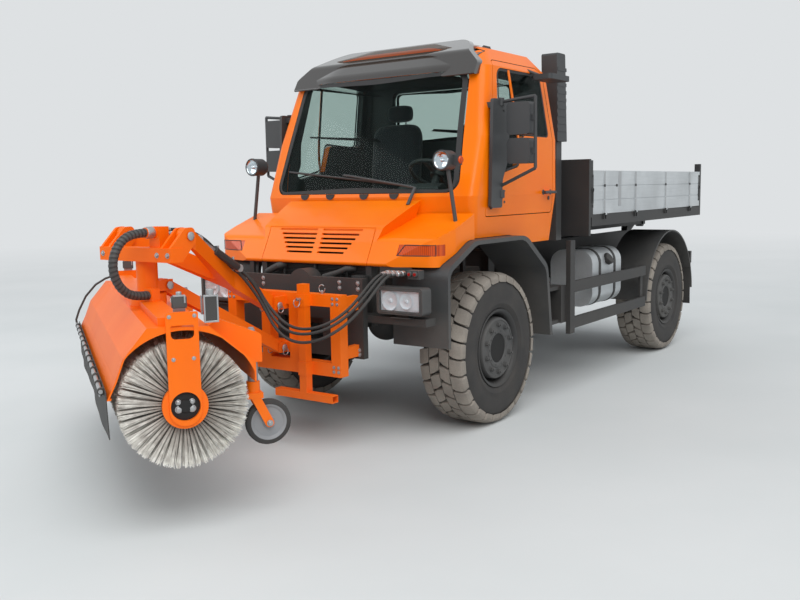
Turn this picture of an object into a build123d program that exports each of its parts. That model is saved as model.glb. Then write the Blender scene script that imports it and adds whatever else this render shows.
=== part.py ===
from build123d import *
import math
import os

# Street sweeper truck: an all-terrain implement carrier with an aluminium drop-side bed
# and a swivelling roller broom on a lifting frame at its front.
# Millimetres, +X forwards, +Y to the vehicle's left, +Z up.
# Every place is written from the point on the ground under the middle of the front axle,
# and ORIGIN moves the finished pieces to the middle of the whole outline on the ground.

# Driving dimensions of the vehicle
WHEELBASE = 3600
TRACK = 1734
TYRE_R = 565
TYRE_W = 365
RIM_R = 262
RIM_W = 330
FLANGE_R = 292
WHEEL_Y = TRACK / 2
KINGPIN_Y = 600

RAIL_OUT = 390
RAIL_W = 70
RAIL_LOW = 780
RAIL_TOP = 960
RAIL_FRONT = 965
REAR_AXLE = -WHEELBASE
RAIL_REAR = REAR_AXLE - 700

CAB_WALL = 55
GLASS_T = 10
PANEL_GAP = 6
SEAL_GAP = 0.3
BODY_GAP = 4
CAB_FLOOR = 1310
BELT_Z = 2120
ROOF_TOP = 2865

FENDER_IN = 640
FENDER_OUT = 1095
FENDER_T = 30
HUMP_T = 30

BED_FRONT = -1400
BED_REAR = REAR_AXLE - 800
BED_HALF = 1123
BED_LOW = 1400
BED_TOP = 1500
FLOOR_T = 20
BOARD_T = 25
BOARD_TOP = 1875
POST_L = 40
HINGE_OUT = 15
HINGE_R = 10

BED_PIVOT = (RAIL_REAR, 1320)
PIN_PLAY = 0.08
OPEN_PLAY = 1

# The broom: places in its own frame, A forwards across the brush and B along its axis
LIFT_REAR = (1264, 678)
LIFT_VECTOR = (971, 527)
UPPER_OFFSET = (50, 299)
UPPER_Y = 270
SWIVEL_X = 2350
SWIVEL_DEG = -32.4
BRUSH_A = -50
BRUSH_Z = 688
BRUSH_R = 330
BRUSH_NEAR = 920
BRUSH_FAR = -1680
END_PLATE_T = 10
COVER_T = 8
CUTOUT_R = 385
CASTER_A = -515
CASTER_B = 750
CASTER_R = 125
CASTER_TRAIL = 75

MIRROR_OUT = 1325

LIFT_FRONT = (LIFT_REAR[0] + LIFT_VECTOR[0], LIFT_REAR[1] + LIFT_VECTOR[1])
UPPER_REAR = (LIFT_REAR[0] + UPPER_OFFSET[0], LIFT_REAR[1] + UPPER_OFFSET[1])
UPPER_FRONT = (LIFT_FRONT[0] + UPPER_OFFSET[0], LIFT_FRONT[1] + UPPER_OFFSET[1])
COVER_NEAR = BRUSH_NEAR + 35
COVER_FAR = BRUSH_FAR - 35

# Cover section round the brush, from its front lip over the top to its rear edge: (A, Z)
COVER_SECTION = [
    (325, 752),
    (282, 840),
    (240, 950),
    (120, 1095),
    (-185, 1085),
    (-415, 880),
    (-415, 780),
]

SWIVEL_SIN = math.sin(math.radians(SWIVEL_DEG))
SWIVEL_COS = math.cos(math.radians(SWIVEL_DEG))
FRONT_REACH = SWIVEL_X + COVER_SECTION[0][0] * SWIVEL_COS - COVER_NEAR * SWIVEL_SIN
RIGHT_REACH = -(COVER_SECTION[0][0] * SWIVEL_SIN + COVER_FAR * SWIVEL_COS)
REAR_REACH = HINGE_R + HINGE_OUT - BED_REAR
ORIGIN = Location(((REAR_REACH - FRONT_REACH) / 2, (RIGHT_REACH - MIRROR_OUT) / 2, 0))

os.makedirs("parts", exist_ok=True)


def save(name, *pieces):
    solids = []
    for piece in pieces:
        solids.extend(piece.solids())
    export_step(Compound(solids).moved(ORIGIN), f"parts/{name}.step")


def block(x0, x1, y0, y1, z0, z1):
    centre = Pos((x0 + x1) / 2, (y0 + y1) / 2, (z0 + z1) / 2)
    return centre * Box(abs(x1 - x0), abs(y1 - y0), abs(z1 - z0))


def rod(start, end, radius):
    run = Vector(*end) - Vector(*start)
    middle = (Vector(*end) + Vector(*start)) / 2
    return Plane(origin=middle, z_dir=run) * Cylinder(radius, run.length)


def closed_face(rows):
    # each row is (across, up, corner radius)
    points = [(row[0], row[1]) for row in rows]
    return make_face(FilletPolyline(*points, radius=[row[2] for row in rows], close=True))


def side_prism(rows, y0, y1, inset=0):
    # an outline in X and Z, from y0 to y1
    face = closed_face(rows)
    if inset:
        face = offset(face, -inset)
    return extrude(Plane.XZ.offset(-y1) * face, y1 - y0)


def front_prism(rows, x0, x1, inset=0):
    # an outline in Y and Z, from x0 to x1
    face = closed_face(rows)
    if inset:
        face = offset(face, -inset)
    return extrude(Plane.YZ.offset(x0) * face, x1 - x0)


def plan_prism(rows, z0, z1):
    # an outline in X and Y, from z0 to z1
    return extrude(Plane.XY.offset(z0) * closed_face(rows), z1 - z0)


def both_sides(piece):
    return [piece, mirror(piece, Plane.XZ)]


def bar(start, end, y0, y1, half_height):
    # a flat bar with round ends between two pins in the side view
    run = math.hypot(end[0] - start[0], end[1] - start[1])
    angle = math.degrees(math.atan2(end[1] - start[1], end[0] - start[0]))
    shape = SlotCenterToCenter(run, half_height * 2, rotation=angle)
    middle = ((start[0] + end[0]) / 2, (start[1] + end[1]) / 2)
    return extrude(Plane.XZ.offset(-y1) * Pos(*middle) * shape, y1 - y0)


# Cab sections from the floor to the roof:
# (height, front, front corner, half width, rear, front radius, corner radius)
CAB_SECTIONS = [
    (CAB_FLOOR, 330, 240, 968, -985, 500, 60),
    (1690, 375, 275, 1000, -1040, 500, 70),
    (BELT_Z, 225, 125, 992, -1050, 500, 80),
    (2640, 45, -55, 915, -1015, 500, 90),
    (2790, -110, -200, 780, -960, 500, 140),
    (ROOF_TOP, -300, -380, 520, -800, 400, 160),
]


def cab_section(row, inset, height):
    _, front, corner, half, rear, front_radius, corner_radius = row
    points = [
        (front - inset, half * 0.55, front_radius),
        (corner - inset, half - inset, corner_radius),
        (rear + inset, half - inset, 40),
        (rear + inset, -half + inset, 40),
        (corner - inset, -half + inset, corner_radius),
        (front - inset, -half * 0.55, front_radius),
    ]
    return Plane.XY.offset(height) * closed_face(points)


def cab_body(inset):
    faces = []
    for row in CAB_SECTIONS:
        height = row[0]
        if row is CAB_SECTIONS[0]:
            height = height + inset
        if row is CAB_SECTIONS[-1]:
            height = height - inset
        faces.append(cab_section(row, inset, height))
    return loft(faces, ruled=True)


# Outlines of the openings: (across, up, corner radius)
WINDSCREEN = [(-880, 1715, 90), (880, 1715, 90), (800, 2600, 70), (-800, 2600, 70)]
REAR_WINDOW = [(-620, 2160, 60), (620, 2160, 60), (600, 2600, 60), (-600, 2600, 60)]
DOOR = [
    (115, 1535, 30),
    (-955, 1535, 30),
    (-970, 2120, 30),
    (-930, 2690, 70),
    (-150, 2690, 90),
    (80, 1900, 60),
]
DOOR_WINDOW = [
    (-25, 1830, 50),
    (-390, 1900, 50),
    (-470, 2135, 50),
    (-905, 2135, 40),
    (-880, 2630, 60),
    (-190, 2630, 90),
]
FENDER = [
    (780, 680, 0),
    (780, 1215, 110),
    (430, 1385, 220),
    (-330, 1385, 240),
    (-690, 1130, 150),
    (-775, 560, 0),
]


def fender_outline(grow):
    low = min(row[1] for row in FENDER) - 400
    rows = [(row[0] + math.copysign(grow, row[0]), row[1] + grow, row[2]) for row in FENDER]
    rows[0] = (rows[0][0], low, 0)
    rows[-1] = (rows[-1][0], low, 0)
    return rows


CAB_OUTER = cab_body(0)
CAB_INNER = cab_body(CAB_WALL)
CAB_SKIN = cab_body(GLASS_T)
CAB_CLEAR = cab_body(-SEAL_GAP)
ARCH_CLEAR = side_prism(fender_outline(BODY_GAP), FENDER_IN - BODY_GAP, 1200)
ARCH_HUMP = side_prism(fender_outline(BODY_GAP + HUMP_T), FENDER_IN - BODY_GAP - HUMP_T, 1200)
DOOR_CUT = side_prism(DOOR, 500, 1200)
WINDSCREEN_CUT = front_prism(WINDSCREEN, -250, 600)
REAR_WINDOW_CUT = front_prism(REAR_WINDOW, -1200, -800)


# Cab
def cab_shell():
    shell = CAB_OUTER - CAB_INNER
    shell -= WINDSCREEN_CUT
    shell -= REAR_WINDOW_CUT
    for hump in both_sides(ARCH_HUMP & CAB_OUTER):
        shell += hump
    for cut in both_sides(ARCH_CLEAR) + both_sides(DOOR_CUT):
        shell -= cut
    return shell


def cab_glass():
    skin = CAB_OUTER - CAB_SKIN
    front = skin & front_prism(WINDSCREEN, -250, 600, SEAL_GAP)
    rear = skin & front_prism(REAR_WINDOW, -1200, -800, SEAL_GAP)
    return [front, rear]


def door():
    leaf = (CAB_OUTER - CAB_INNER) & side_prism(DOOR, 500, 1200, PANEL_GAP)
    leaf -= side_prism(DOOR_WINDOW, 500, 1200)
    handle = block(-905, -800, 985, 1028, 1690, 1715)
    return leaf + handle


def door_glass():
    return (CAB_OUTER - CAB_SKIN) & side_prism(DOOR_WINDOW, 500, 1200, SEAL_GAP)


def mirror_arm():
    post_x = -60
    post_y = MIRROR_OUT - 20
    blade = [(100, 1600, 20), (-60, 1600, 20), (-70, 1800, 60), (-160, 1960, 60)]
    blade += [(-190, 2380, 20), (60, 2380, 20)]
    pieces = side_prism(blade, 1010, 1035)
    for z in (1680, 2340):
        pieces += block(-110, 10, 900, 1012, z - 20, z + 20) - CAB_CLEAR
    pieces += rod((post_x, 1030, 2360), (post_x, post_y, 2385), 12)
    pieces += rod((post_x, 1030, 1760), (post_x, post_y, 1880), 12)
    pieces += rod((post_x, post_y, 1880), (post_x, post_y, 2385), 12)
    for low, high in ((2120, 2350), (1915, 2095)):
        head = block(-120, -20, 1095, 1280, low, high)
        pieces += fillet(head.edges().filter_by(Axis.X), 30)
        pieces += block(post_x - 15, post_x + 15, 1275, post_y, (low + high) / 2 - 20, (low + high) / 2 + 20)
    return pieces


def kerb_mirror():
    head = block(-900, -560, 1010, 1180, 2560, 2600)
    head = fillet(head.edges().filter_by(Axis.Z), 30)
    stem = rod((-730, 860, 2665), (-730, 1050, 2585), 14)
    return (head + stem) - CAB_CLEAR


def roof_visor():
    outline = [(-60, 2580, 10), (60, 2560, 10), (-60, 2760, 80)]
    outline += [(-330, 2885, 5), (-340, 2868, 0), (-130, 2760, 60)]
    wide = side_prism(outline, -870, 870)
    crown = [(-870, 2540, 0), (870, 2540, 0), (880, 2650, 80)]
    crown += [(620, 2885, 300), (-620, 2885, 300), (-880, 2650, 80)]
    return (wide & front_prism(crown, -500, 200)) - CAB_CLEAR


SEAT_LOW = 1560
SEAT_TOP = 1700
BACK_TOP = 2330
DRIVER_Y = 450
DRIVER_W = 480
MATE_Y = -430
MATE_W = 560
SEAT_BASE_HALF = 150


def seats():
    pieces = []
    back_low = SEAT_TOP + SEAL_GAP
    rest_low = BACK_TOP + SEAL_GAP
    for middle, width in ((DRIVER_Y, DRIVER_W), (MATE_Y, MATE_W)):
        y0 = middle - width / 2
        y1 = middle + width / 2
        cushion = block(-820, -320, y0, y1, SEAT_LOW, SEAT_TOP)
        pieces.append(fillet(cushion.edges(), 35))
        base_y = (middle - SEAT_BASE_HALF, middle + SEAT_BASE_HALF)
        pieces.append(block(-770, -400, *base_y, CAB_FLOOR + CAB_WALL, SEAT_LOW - SEAL_GAP))
        back = [(-800, back_low, 20), (-680, back_low, 20), (-770, BACK_TOP, 50), (-880, BACK_TOP, 50)]
        pieces.append(side_prism(back, y0, y1))
        rest = [(-880, rest_low, 20), (-790, rest_low, 20), (-810, 2480, 40), (-900, 2480, 40)]
        pieces.append(side_prism(rest, middle - 130, middle + 130))
    return pieces


DASH_HALF = 915
DASH_LOW = 1440
DASH_TOP = 1700


def dashboard():
    section = [(400, DASH_LOW, 0), (60, DASH_LOW, 20), (20, 1600, 60), (60, DASH_TOP, 60), (400, DASH_TOP, 0)]
    desk = side_prism(section, -DASH_HALF, DASH_HALF) & cab_body(CAB_WALL + SEAL_GAP)
    hood = [(40, DASH_TOP - 40, 20), (180, DASH_TOP - 40, 20), (180, 1760, 20), (60, 1800, 40)]
    binnacle = side_prism(hood, DRIVER_Y - 180, DRIVER_Y + 180)
    column_top = Vector(-90, DRIVER_Y, 1850)
    column = rod((60, DRIVER_Y, 1600), column_top, 28)
    tilt = Plane(origin=column_top, z_dir=(-0.5, 0, 0.866))
    wheel = tilt * Torus(215, 16)
    spokes = tilt * Box(420, 34, 14)
    hub = tilt * Cylinder(55, 30)
    return desk + binnacle + column + hub + spokes + wheel


# Bonnet: a raised middle that slopes down to the grille, and two lower shoulders
BONNET_LOW = 1225
BONNET_SIDE = [
    (400, BONNET_LOW, 0),
    (400, 1665, 0),
    (500, 1620, 60),
    (765, 1490, 60),
    (872, 1255, 20),
    (850, BONNET_LOW, 0),
]
BONNET_FRONT = [
    (-480, BONNET_LOW, 20),
    (480, BONNET_LOW, 20),
    (560, 1480, 60),
    (640, 1700, 0),
    (-640, 1700, 0),
    (-560, 1480, 60),
]
SHOULDER_SIDE = [
    (345, BONNET_LOW, 0),
    (345, 1570, 0),
    (560, 1490, 100),
    (800, 1410, 60),
    (890, 1235, 20),
    (870, BONNET_LOW, 0),
]
SHOULDER_PLAN = [
    (345, -1040, 0),
    (600, -1045, 80),
    (790, -1010, 80),
    (900, -600, 200),
    (900, 600, 200),
    (790, 1010, 80),
    (600, 1045, 80),
    (345, 1040, 0),
]
BONNET_T = 25
FLAP_HALF = 500
FLAP_TOP = (766, 1489)


def bonnet_solid(inset):
    middle = side_prism(BONNET_SIDE, -700, 700, inset) & front_prism(BONNET_FRONT, 300, 1000, inset)
    sides = side_prism(SHOULDER_SIDE, -1100, 1100, inset)
    face = closed_face(SHOULDER_PLAN)
    if inset:
        face = offset(face, -inset)
    sides &= extrude(Plane.XY.offset(1100) * face, 600)
    return middle + sides


def flap_cut(gap):
    return block(FLAP_TOP[0] - 3 + gap, 1000, -FLAP_HALF + gap, FLAP_HALF - gap, 1200, FLAP_TOP[1] + 40)


BONNET_HOLLOW = bonnet_solid(BONNET_T) + block(300, 840, -900, 900, 1150, 1260)
REBATE_T = 10
REBATE_W = 20


def indicator_block(gap):
    return block(700 + gap, 1000, 730 + gap, 1100, 1300 + gap, 1375 - gap)


def flap_rebate():
    # the flange behind the flap's side edge, fused to the shell beside it
    layer = bonnet_solid(BONNET_T + SEAL_GAP) - bonnet_solid(BONNET_T + REBATE_T)
    root = bonnet_solid(BONNET_T - 5) - bonnet_solid(BONNET_T + REBATE_T)
    low = BONNET_LOW + BONNET_T + REBATE_T + 2
    layer &= block(600, 1000, FLAP_HALF - REBATE_W, FLAP_HALF + REBATE_W, low, 1440)
    root &= block(600, 1000, FLAP_HALF + PANEL_GAP, FLAP_HALF + REBATE_W, low, 1440)
    return layer + root


def bonnet():
    shell = bonnet_solid(0) - BONNET_HOLLOW
    shell -= cab_body(-BODY_GAP)
    shell -= flap_cut(0)
    for flange in both_sides(flap_rebate()):
        shell += flange
    for cut in both_sides(indicator_block(0)) + both_sides(ARCH_CLEAR):
        shell -= cut
    return shell


def service_flap():
    panel = (bonnet_solid(0) - BONNET_HOLLOW) & flap_cut(PANEL_GAP)
    for row in range(6):
        z = 1300 + row * 32
        half = 270 + row * 24
        for side in (-1, 1):
            panel -= block(700, 1000, side * 25, side * half, z, z + 14)
    return panel


def indicators():
    lens = (bonnet_solid(2) - bonnet_solid(20)) & indicator_block(SEAL_GAP)
    return both_sides(lens)


# Wings, mudguards, steps
def front_fenders():
    band = side_prism(FENDER, FENDER_IN, FENDER_OUT)
    inner = [(row[0] - math.copysign(FENDER_T, row[0]), row[1] - FENDER_T, row[2]) for row in FENDER]
    inner[0] = (inner[0][0], FENDER[-1][1] - 100, 0)
    inner[-1] = (inner[-1][0], FENDER[-1][1] - 100, 0)
    inner = [(row[0], row[1], max(row[2] - FENDER_T, 0)) for row in inner]
    band -= side_prism(inner, FENDER_IN - 10, FENDER_OUT + 10)
    return both_sides(band)


REAR_GUARD_R = 705


def rear_mudguards():
    ring = rod((REAR_AXLE, 660, TYRE_R), (REAR_AXLE, 1080, TYRE_R), REAR_GUARD_R)
    ring -= rod((REAR_AXLE, 650, TYRE_R), (REAR_AXLE, 1090, TYRE_R), REAR_GUARD_R - 15)
    ring -= block(REAR_AXLE - 900, REAR_AXLE + 900, 600, 1200, -300, TYRE_R + 30)
    stay = block(REAR_AXLE + 560, REAR_AXLE + 600, RAIL_OUT, 700, 930, 960)
    rear_stay = block(REAR_AXLE - 600, REAR_AXLE - 560, RAIL_OUT, 700, 930, 960)
    return both_sides(ring + stay + rear_stay)


# Chassis: two rails, the members between them, and the brackets outside them
RAIL_IN = RAIL_OUT - RAIL_W
TOW_PIN_R = 20
TAIL_T = 30
BEAM_Z = (850, 900)


def chassis_frame():
    return both_sides(block(RAIL_REAR, RAIL_FRONT, RAIL_IN, RAIL_OUT, RAIL_LOW, RAIL_TOP))


def cross_members():
    pieces = []
    for x in (900, -1250, -1700, -2200, REAR_AXLE + 450, REAR_AXLE - 450):
        pieces.append(block(x - 50, x + 50, -RAIL_IN, RAIL_IN, RAIL_LOW + 30, RAIL_TOP - 30))
    face = RAIL_REAR - TAIL_T
    tail = block(face, RAIL_REAR, -450, 450, 700, RAIL_TOP)
    jaw = block(face - 80, face, -70, 70, 800, 900)
    jaw -= block(face - 100, face, -75, 75, 830, 870)
    jaw -= rod((face - 45, 0, 700), (face - 45, 0, 1000), TOW_PIN_R)
    pieces.append(tail + jaw)
    return pieces


def cab_mounts():
    pieces = []
    for x in (250, -880):
        bracket = block(x - 50, x + 50, RAIL_OUT, 470, RAIL_TOP - 60, 1250)
        bracket += block(x - 50, x + 50, RAIL_OUT, 560, 1200, CAB_FLOOR)
        pieces.extend(both_sides(bracket))
    stay_x = -520
    stay = block(stay_x - 20, stay_x + 20, RAIL_OUT, RAIL_OUT + 30, RAIL_TOP - 60, 1245)
    stay += block(stay_x - 20, stay_x + 20, RAIL_OUT, FENDER_IN, 1215, 1245)
    pieces.extend(both_sides(stay))
    return pieces


DOME_R = 105
DOME_Z = 1095
COUPLING_BACK = RAIL_FRONT - 97
COUPLING_FACE = RAIL_FRONT - 22
COUPLING_Z = 1190
COUPLINGS = [705, 745, 785, 825]


def front_plate():
    plate = block(RAIL_FRONT, RAIL_FRONT + 50, -560, 560, 600, 1150)
    plate -= block(RAIL_FRONT - 10, RAIL_FRONT + 60, -200, 200, 700, 860)
    dome = rod((RAIL_FRONT - 75, 0, DOME_Z), (RAIL_FRONT + 50, 0, DOME_Z), DOME_R)
    dome -= block(RAIL_FRONT - 100, RAIL_FRONT + 60, -DOME_R - 10, DOME_R + 10, DOME_Z - DOME_R - 10, DOME_Z)
    beam_rear = RAIL_FRONT - 110
    beam_front = RAIL_FRONT - SEAL_GAP
    beam = block(beam_rear, beam_front, RAIL_OUT, 1040, *BEAM_Z)
    beam += block(FENDER[0][0], beam_rear + 10, 690, 740, 855, 895)
    beam += block(beam_rear - 10, COUPLING_BACK, 600, 640, 850, BONNET_LOW)
    left, right = both_sides(beam)
    left += block(beam_rear, COUPLING_BACK, 600, 860, COUPLING_Z - 40, BONNET_LOW)
    for y in COUPLINGS:
        left += rod((COUPLING_BACK, y, COUPLING_Z), (COUPLING_BACK + 30, y, COUPLING_Z), 17)
        left += rod((COUPLING_BACK + 30, y, COUPLING_Z), (COUPLING_FACE, y, COUPLING_Z), 13)
    return [plate + dome, left, right]


ENGINE_REAR = -560
GEARBOX_REAR = -1150
AXLE_Z = 690
AXLE_BALL_R = 150
TUBE_R = 55


def engine_block():
    engine = block(ENGINE_REAR, 600, -290, 290, AXLE_Z + AXLE_BALL_R + 20, 1240)
    engine += block(GEARBOX_REAR, ENGINE_REAR + 20, -190, 190, 620, 1050)
    for x in (-400, 450):
        engine += block(x - 40, x + 40, -RAIL_IN, RAIL_IN, 870, 930)
    return engine


# Portal axle: its tube and housing, the torque tube to the gearbox, and coil springs up to the rails
def portal_axle(x, end_y, tube_end):
    body = rod((x, -end_y, AXLE_Z), (x, end_y, AXLE_Z), 60)
    body += Pos(x, 0, AXLE_Z) * Sphere(AXLE_BALL_R)
    body += rod((x, 0, AXLE_Z), (tube_end, 0, AXLE_Z), TUBE_R)
    for side in (-1, 1):
        y = side * 455
        body += rod((x, y, 760), (x, y, 1000), 62) - rod((x, y, 750), (x, y, 1010), 42)
        body += block(x - 75, x + 75, side * 380, side * 525, 735, 765)
        body += block(x - 75, x + 75, side * RAIL_OUT, side * 525, 1000, 1020)
        body += block(x - 75, x + 75, side * RAIL_OUT, side * (RAIL_OUT + 8), RAIL_TOP - 60, 1020)
    return body


KINGPIN_R = 22
EAR_LOW = 500
EAR_HIGH = 790
EAR_PLATE_T = 30


def front_axle():
    body = portal_axle(0, 500, ENGINE_REAR + 20 + SEAL_GAP)
    for side in (-1, 1):
        y = side * KINGPIN_Y
        body += block(-70, 70, side * 495, side * 530, EAR_LOW, EAR_HIGH + EAR_PLATE_T)
        for low in (EAR_LOW, EAR_HIGH):
            body += block(-60, 60, side * 525, y, low, low + EAR_PLATE_T)
            body += rod((0, y, low), (0, y, low + EAR_PLATE_T), 60)
        body -= rod((0, y, EAR_LOW - 10), (0, y, EAR_HIGH + EAR_PLATE_T + 10), KINGPIN_R + PIN_PLAY)
    return body


def knuckle():
    barrel_low = EAR_LOW + EAR_PLATE_T + 5
    pin_low = EAR_LOW + 5
    pin_high = EAR_HIGH + EAR_PLATE_T - 5
    body = rod((0, KINGPIN_Y, barrel_low), (0, KINGPIN_Y, EAR_HIGH - 5), 52)
    body += rod((0, KINGPIN_Y, pin_low), (0, KINGPIN_Y, pin_high), KINGPIN_R)
    body += block(-50, 50, KINGPIN_Y, 680, 540, 690)
    body += rod((0, 665, TYRE_R), (0, 900, TYRE_R), 150)
    body += rod((0, 900, TYRE_R), (0, 1000, TYRE_R), HUB_R)
    return body


HUB_R = 45


def rear_axle():
    body = portal_axle(REAR_AXLE, 660, GEARBOX_REAR - SEAL_GAP)
    for side in (-1, 1):
        body += rod((REAR_AXLE, side * 640, TYRE_R), (REAR_AXLE, side * 900, TYRE_R), 150)
        body += rod((REAR_AXLE, side * 900, TYRE_R), (REAR_AXLE, side * 1000, TYRE_R), HUB_R)
    return body


# Wheels
FLANGE_T = 12


HAND_HOLES = 8
HAND_HOLE_R = 20
HAND_HOLE_RING = RIM_R - 62
LUGS = 22
SHOULDER_R = TYRE_R - 95
# One lug round the tyre: (radius, share of the way from one lug's middle to the next)
LUG_SHAPE = [
    (TYRE_R - 22, -0.36),
    (TYRE_R, -0.28),
    (TYRE_R, 0.28),
    (TYRE_R - 22, 0.36),
]


def lugs(phase, y0, y1):
    # a ring of lugs, set round by this share of their pitch
    points = []
    for lug in range(LUGS):
        for radius, share in LUG_SHAPE:
            angle = (lug + share + phase) * math.tau / LUGS
            points.append((radius * math.sin(angle), -radius * math.cos(angle)))
    face = make_face(Polyline(*points, close=True)) - Circle(SHOULDER_R)
    return extrude(Plane.XZ.offset(-y1) * face, y1 - y0)


def tyre_ring():
    half = TYRE_W / 2
    bead = RIM_W / 2 - FLANGE_T - SEAL_GAP - 12
    rows = [
        (RIM_R + SEAL_GAP, -bead, 0),
        (SHOULDER_R, -half, 0),
        (SHOULDER_R, half, 0),
        (RIM_R + SEAL_GAP, bead, 0),
    ]
    ring = revolve(Plane.XY * closed_face(rows), Axis.Y)
    # a lug's edge stands on the ground, and the two rows of lugs are half a pitch apart
    edge = LUG_SHAPE[2][1]
    return ring + lugs(edge, 0, half) + lugs(edge + 0.5, -half, 0)


TYRE = tyre_ring()


def tyre(x, side):
    return Pos(x, side * WHEEL_Y, TYRE_R) * TYRE


def rim(x, side):
    half = RIM_W / 2
    barrel = rod((0, -half, 0), (0, half, 0), RIM_R) - rod((0, -half - 5, 0), (0, half + 5, 0), RIM_R - 16)
    for edge in (-half, half - FLANGE_T):
        flange = rod((0, edge, 0), (0, edge + FLANGE_T, 0), FLANGE_R)
        barrel += flange - rod((0, edge - 5, 0), (0, edge + FLANGE_T + 5, 0), RIM_R - 16)
    disc = rod((0, 70, 0), (0, 90, 0), RIM_R - 10) - rod((0, 60, 0), (0, 100, 0), HUB_R + PIN_PLAY)
    for hole in range(HAND_HOLES):
        angle = hole * math.tau / HAND_HOLES
        place = (HAND_HOLE_RING * math.cos(angle), HAND_HOLE_RING * math.sin(angle))
        disc -= rod((place[0], 60, place[1]), (place[0], 100, place[1]), HAND_HOLE_R)
    cap = rod((0, 70, 0), (0, 215, 0), 105) - rod((0, 60, 0), (0, 140, 0), HUB_R + PIN_PLAY)
    wheel = barrel + disc + cap
    if side < 0:
        wheel = mirror(wheel, Plane.XZ)
    return Pos(x, side * WHEEL_Y, TYRE_R) * wheel


# Lamps: (x, y, z) of the round work lamps and the size of the headlamp boxes
def lamps():
    pieces = []
    for side in (-1, 1):
        box = block(900, 1005, side * 670, side * 1040, 925, 1105)
        box = fillet(box.edges().filter_by(Axis.X), 25)
        box -= block(990, 1010, side * 695, side * 1015, 948, 1082)
        foot = block(900, 960, side * 800, side * 900, 900, 925)
        pieces.append(box + foot)
        drum = rod((440, side * 900, 1940), (530, side * 900, 1940), 68)
        side_lamp = block(450, 500, side * 965, side * 1010, 1905, 1975)
        stalk = rod((470, side * 905, 1885), (470, side * 975, 1450), 14) - bonnet_solid(-SEAL_GAP)
        pieces.append(drum + side_lamp + stalk)
    return pieces


GUARD_D = 60


def tail_lamps():
    pieces = []
    lamp_x = RAIL_REAR + 20
    for side in (-1, 1):
        arm = block(lamp_x, lamp_x + 40, side * RAIL_OUT, side * 800, 880, 920)
        arm += block(lamp_x - 10, lamp_x + 40, side * 760, side * 800, 880, 960)
        pieces.append(arm + block(lamp_x - 50, lamp_x, side * 700, side * 1060, 870, 1000))
    face = RAIL_REAR - TAIL_T
    guard_rear = face - 15
    guard = block(guard_rear, guard_rear + GUARD_D, -1000, 1000, 505, 585)
    for side in (-1, 1):
        guard += block(guard_rear, face, side * 330, side * 400, 545, RAIL_LOW)
    pieces.append(guard)
    return pieces


def intake_stack():
    pipe_body = [(-1190, 2120, 10), (-1370, 2120, 10), (-1330, 2840, 20), (-1170, 2840, 20)]
    stack = side_prism(pipe_body, 790, 930)
    foot = block(-1330, -1230, 800, 900, 1330, 2120)
    arm = block(-1330, -1230, RAIL_OUT - 40, 900, 1290, 1330)
    leg = block(-1330, -1230, RAIL_OUT - 60, RAIL_OUT, RAIL_TOP, 1330)
    return stack + foot + arm + leg


def fuel_tank():
    tank = block(-2400, -1740, 600, 1010, 660, 1175)
    tank = fillet(tank.edges().filter_by(Axis.X), 130)
    hanger = block(-1850, -1800, RAIL_OUT, 640, 820, 900) + block(-2350, -2300, RAIL_OUT, 640, 820, 900)
    battery = block(-2300, -1740, -1000, -600, 700, 1100)
    battery_hanger = block(-1850, -1800, -640, -RAIL_OUT, 820, 900)
    battery_hanger += block(-2280, -2230, -640, -RAIL_OUT, 820, 900)
    return [tank + hanger, battery + battery_hanger]


def side_guards():
    guard = block(-1180, -1090, 1060, 1100, 520, 1300)
    guard_end = REAR_AXLE + 760
    for low in (555, 860):
        guard += block(guard_end, -1180, 1060, 1090, low, low + 95)
    guard += block(guard_end, guard_end + 60, 1040, 1060, 555, 955)
    for x in (-1160, guard_end + 320, guard_end):
        guard += block(x, x + 60, RAIL_OUT, 1062, 870, 920)
    step = block(-1000, -820, 700, 1040, 620, 650) + block(-1000, -820, 700, 1040, 900, 930)
    step += block(-1090, -1000, 700, 1060, 620, 930)
    return both_sides(guard + step)


# Bed and what it tips on
BEAM_IN = 430
BEAM_OUT = 500
BEAM_LOW = 1295
PIVOT_R = 25
PIVOT_LUG_R = 50
SUBFRAME_TOP = 1230
HOIST_X = REAR_AXLE + 1000
HOIST_TOP = 1395
SUBFRAME_REAR = RAIL_REAR + 80


def tipping_frame():
    beam = block(SUBFRAME_REAR, -1450, RAIL_IN, RAIL_OUT, RAIL_TOP, SUBFRAME_TOP)
    beam += bar(BED_PIVOT, (RAIL_REAR + 140, 1250), RAIL_IN, RAIL_OUT, PIVOT_LUG_R)
    beam += block(-1560, -1480, RAIL_OUT - 10, BEAM_OUT, SUBFRAME_TOP - 40, BEAM_LOW - SEAL_GAP)
    pivot_x, pivot_z = BED_PIVOT
    beam -= rod((pivot_x, RAIL_IN - 10, pivot_z), (pivot_x, RAIL_OUT + 10, pivot_z), PIVOT_R + PIN_PLAY)
    return both_sides(beam)


def tipping_bars():
    # the cross bars of the tipping frame, its pivot pin and its hoist
    pieces = []
    for x in (-1500, REAR_AXLE + 200, SUBFRAME_REAR + 30):
        pieces.append(block(x - 30, x + 30, -RAIL_IN, RAIL_IN, 1000, 1180))
    pivot_x, pivot_z = BED_PIVOT
    pieces.append(rod((pivot_x, -BEAM_OUT - 15, pivot_z), (pivot_x, BEAM_OUT + 15, pivot_z), PIVOT_R))
    hoist = rod((HOIST_X, 0, 760), (HOIST_X, 0, SUBFRAME_TOP + 10), 90)
    hoist += rod((HOIST_X, 0, SUBFRAME_TOP), (HOIST_X, 0, HOIST_TOP), 55)
    pieces.append(hoist + block(HOIST_X - 100, HOIST_X + 100, -RAIL_IN, RAIL_IN, 1010, 1060))
    return pieces


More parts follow.
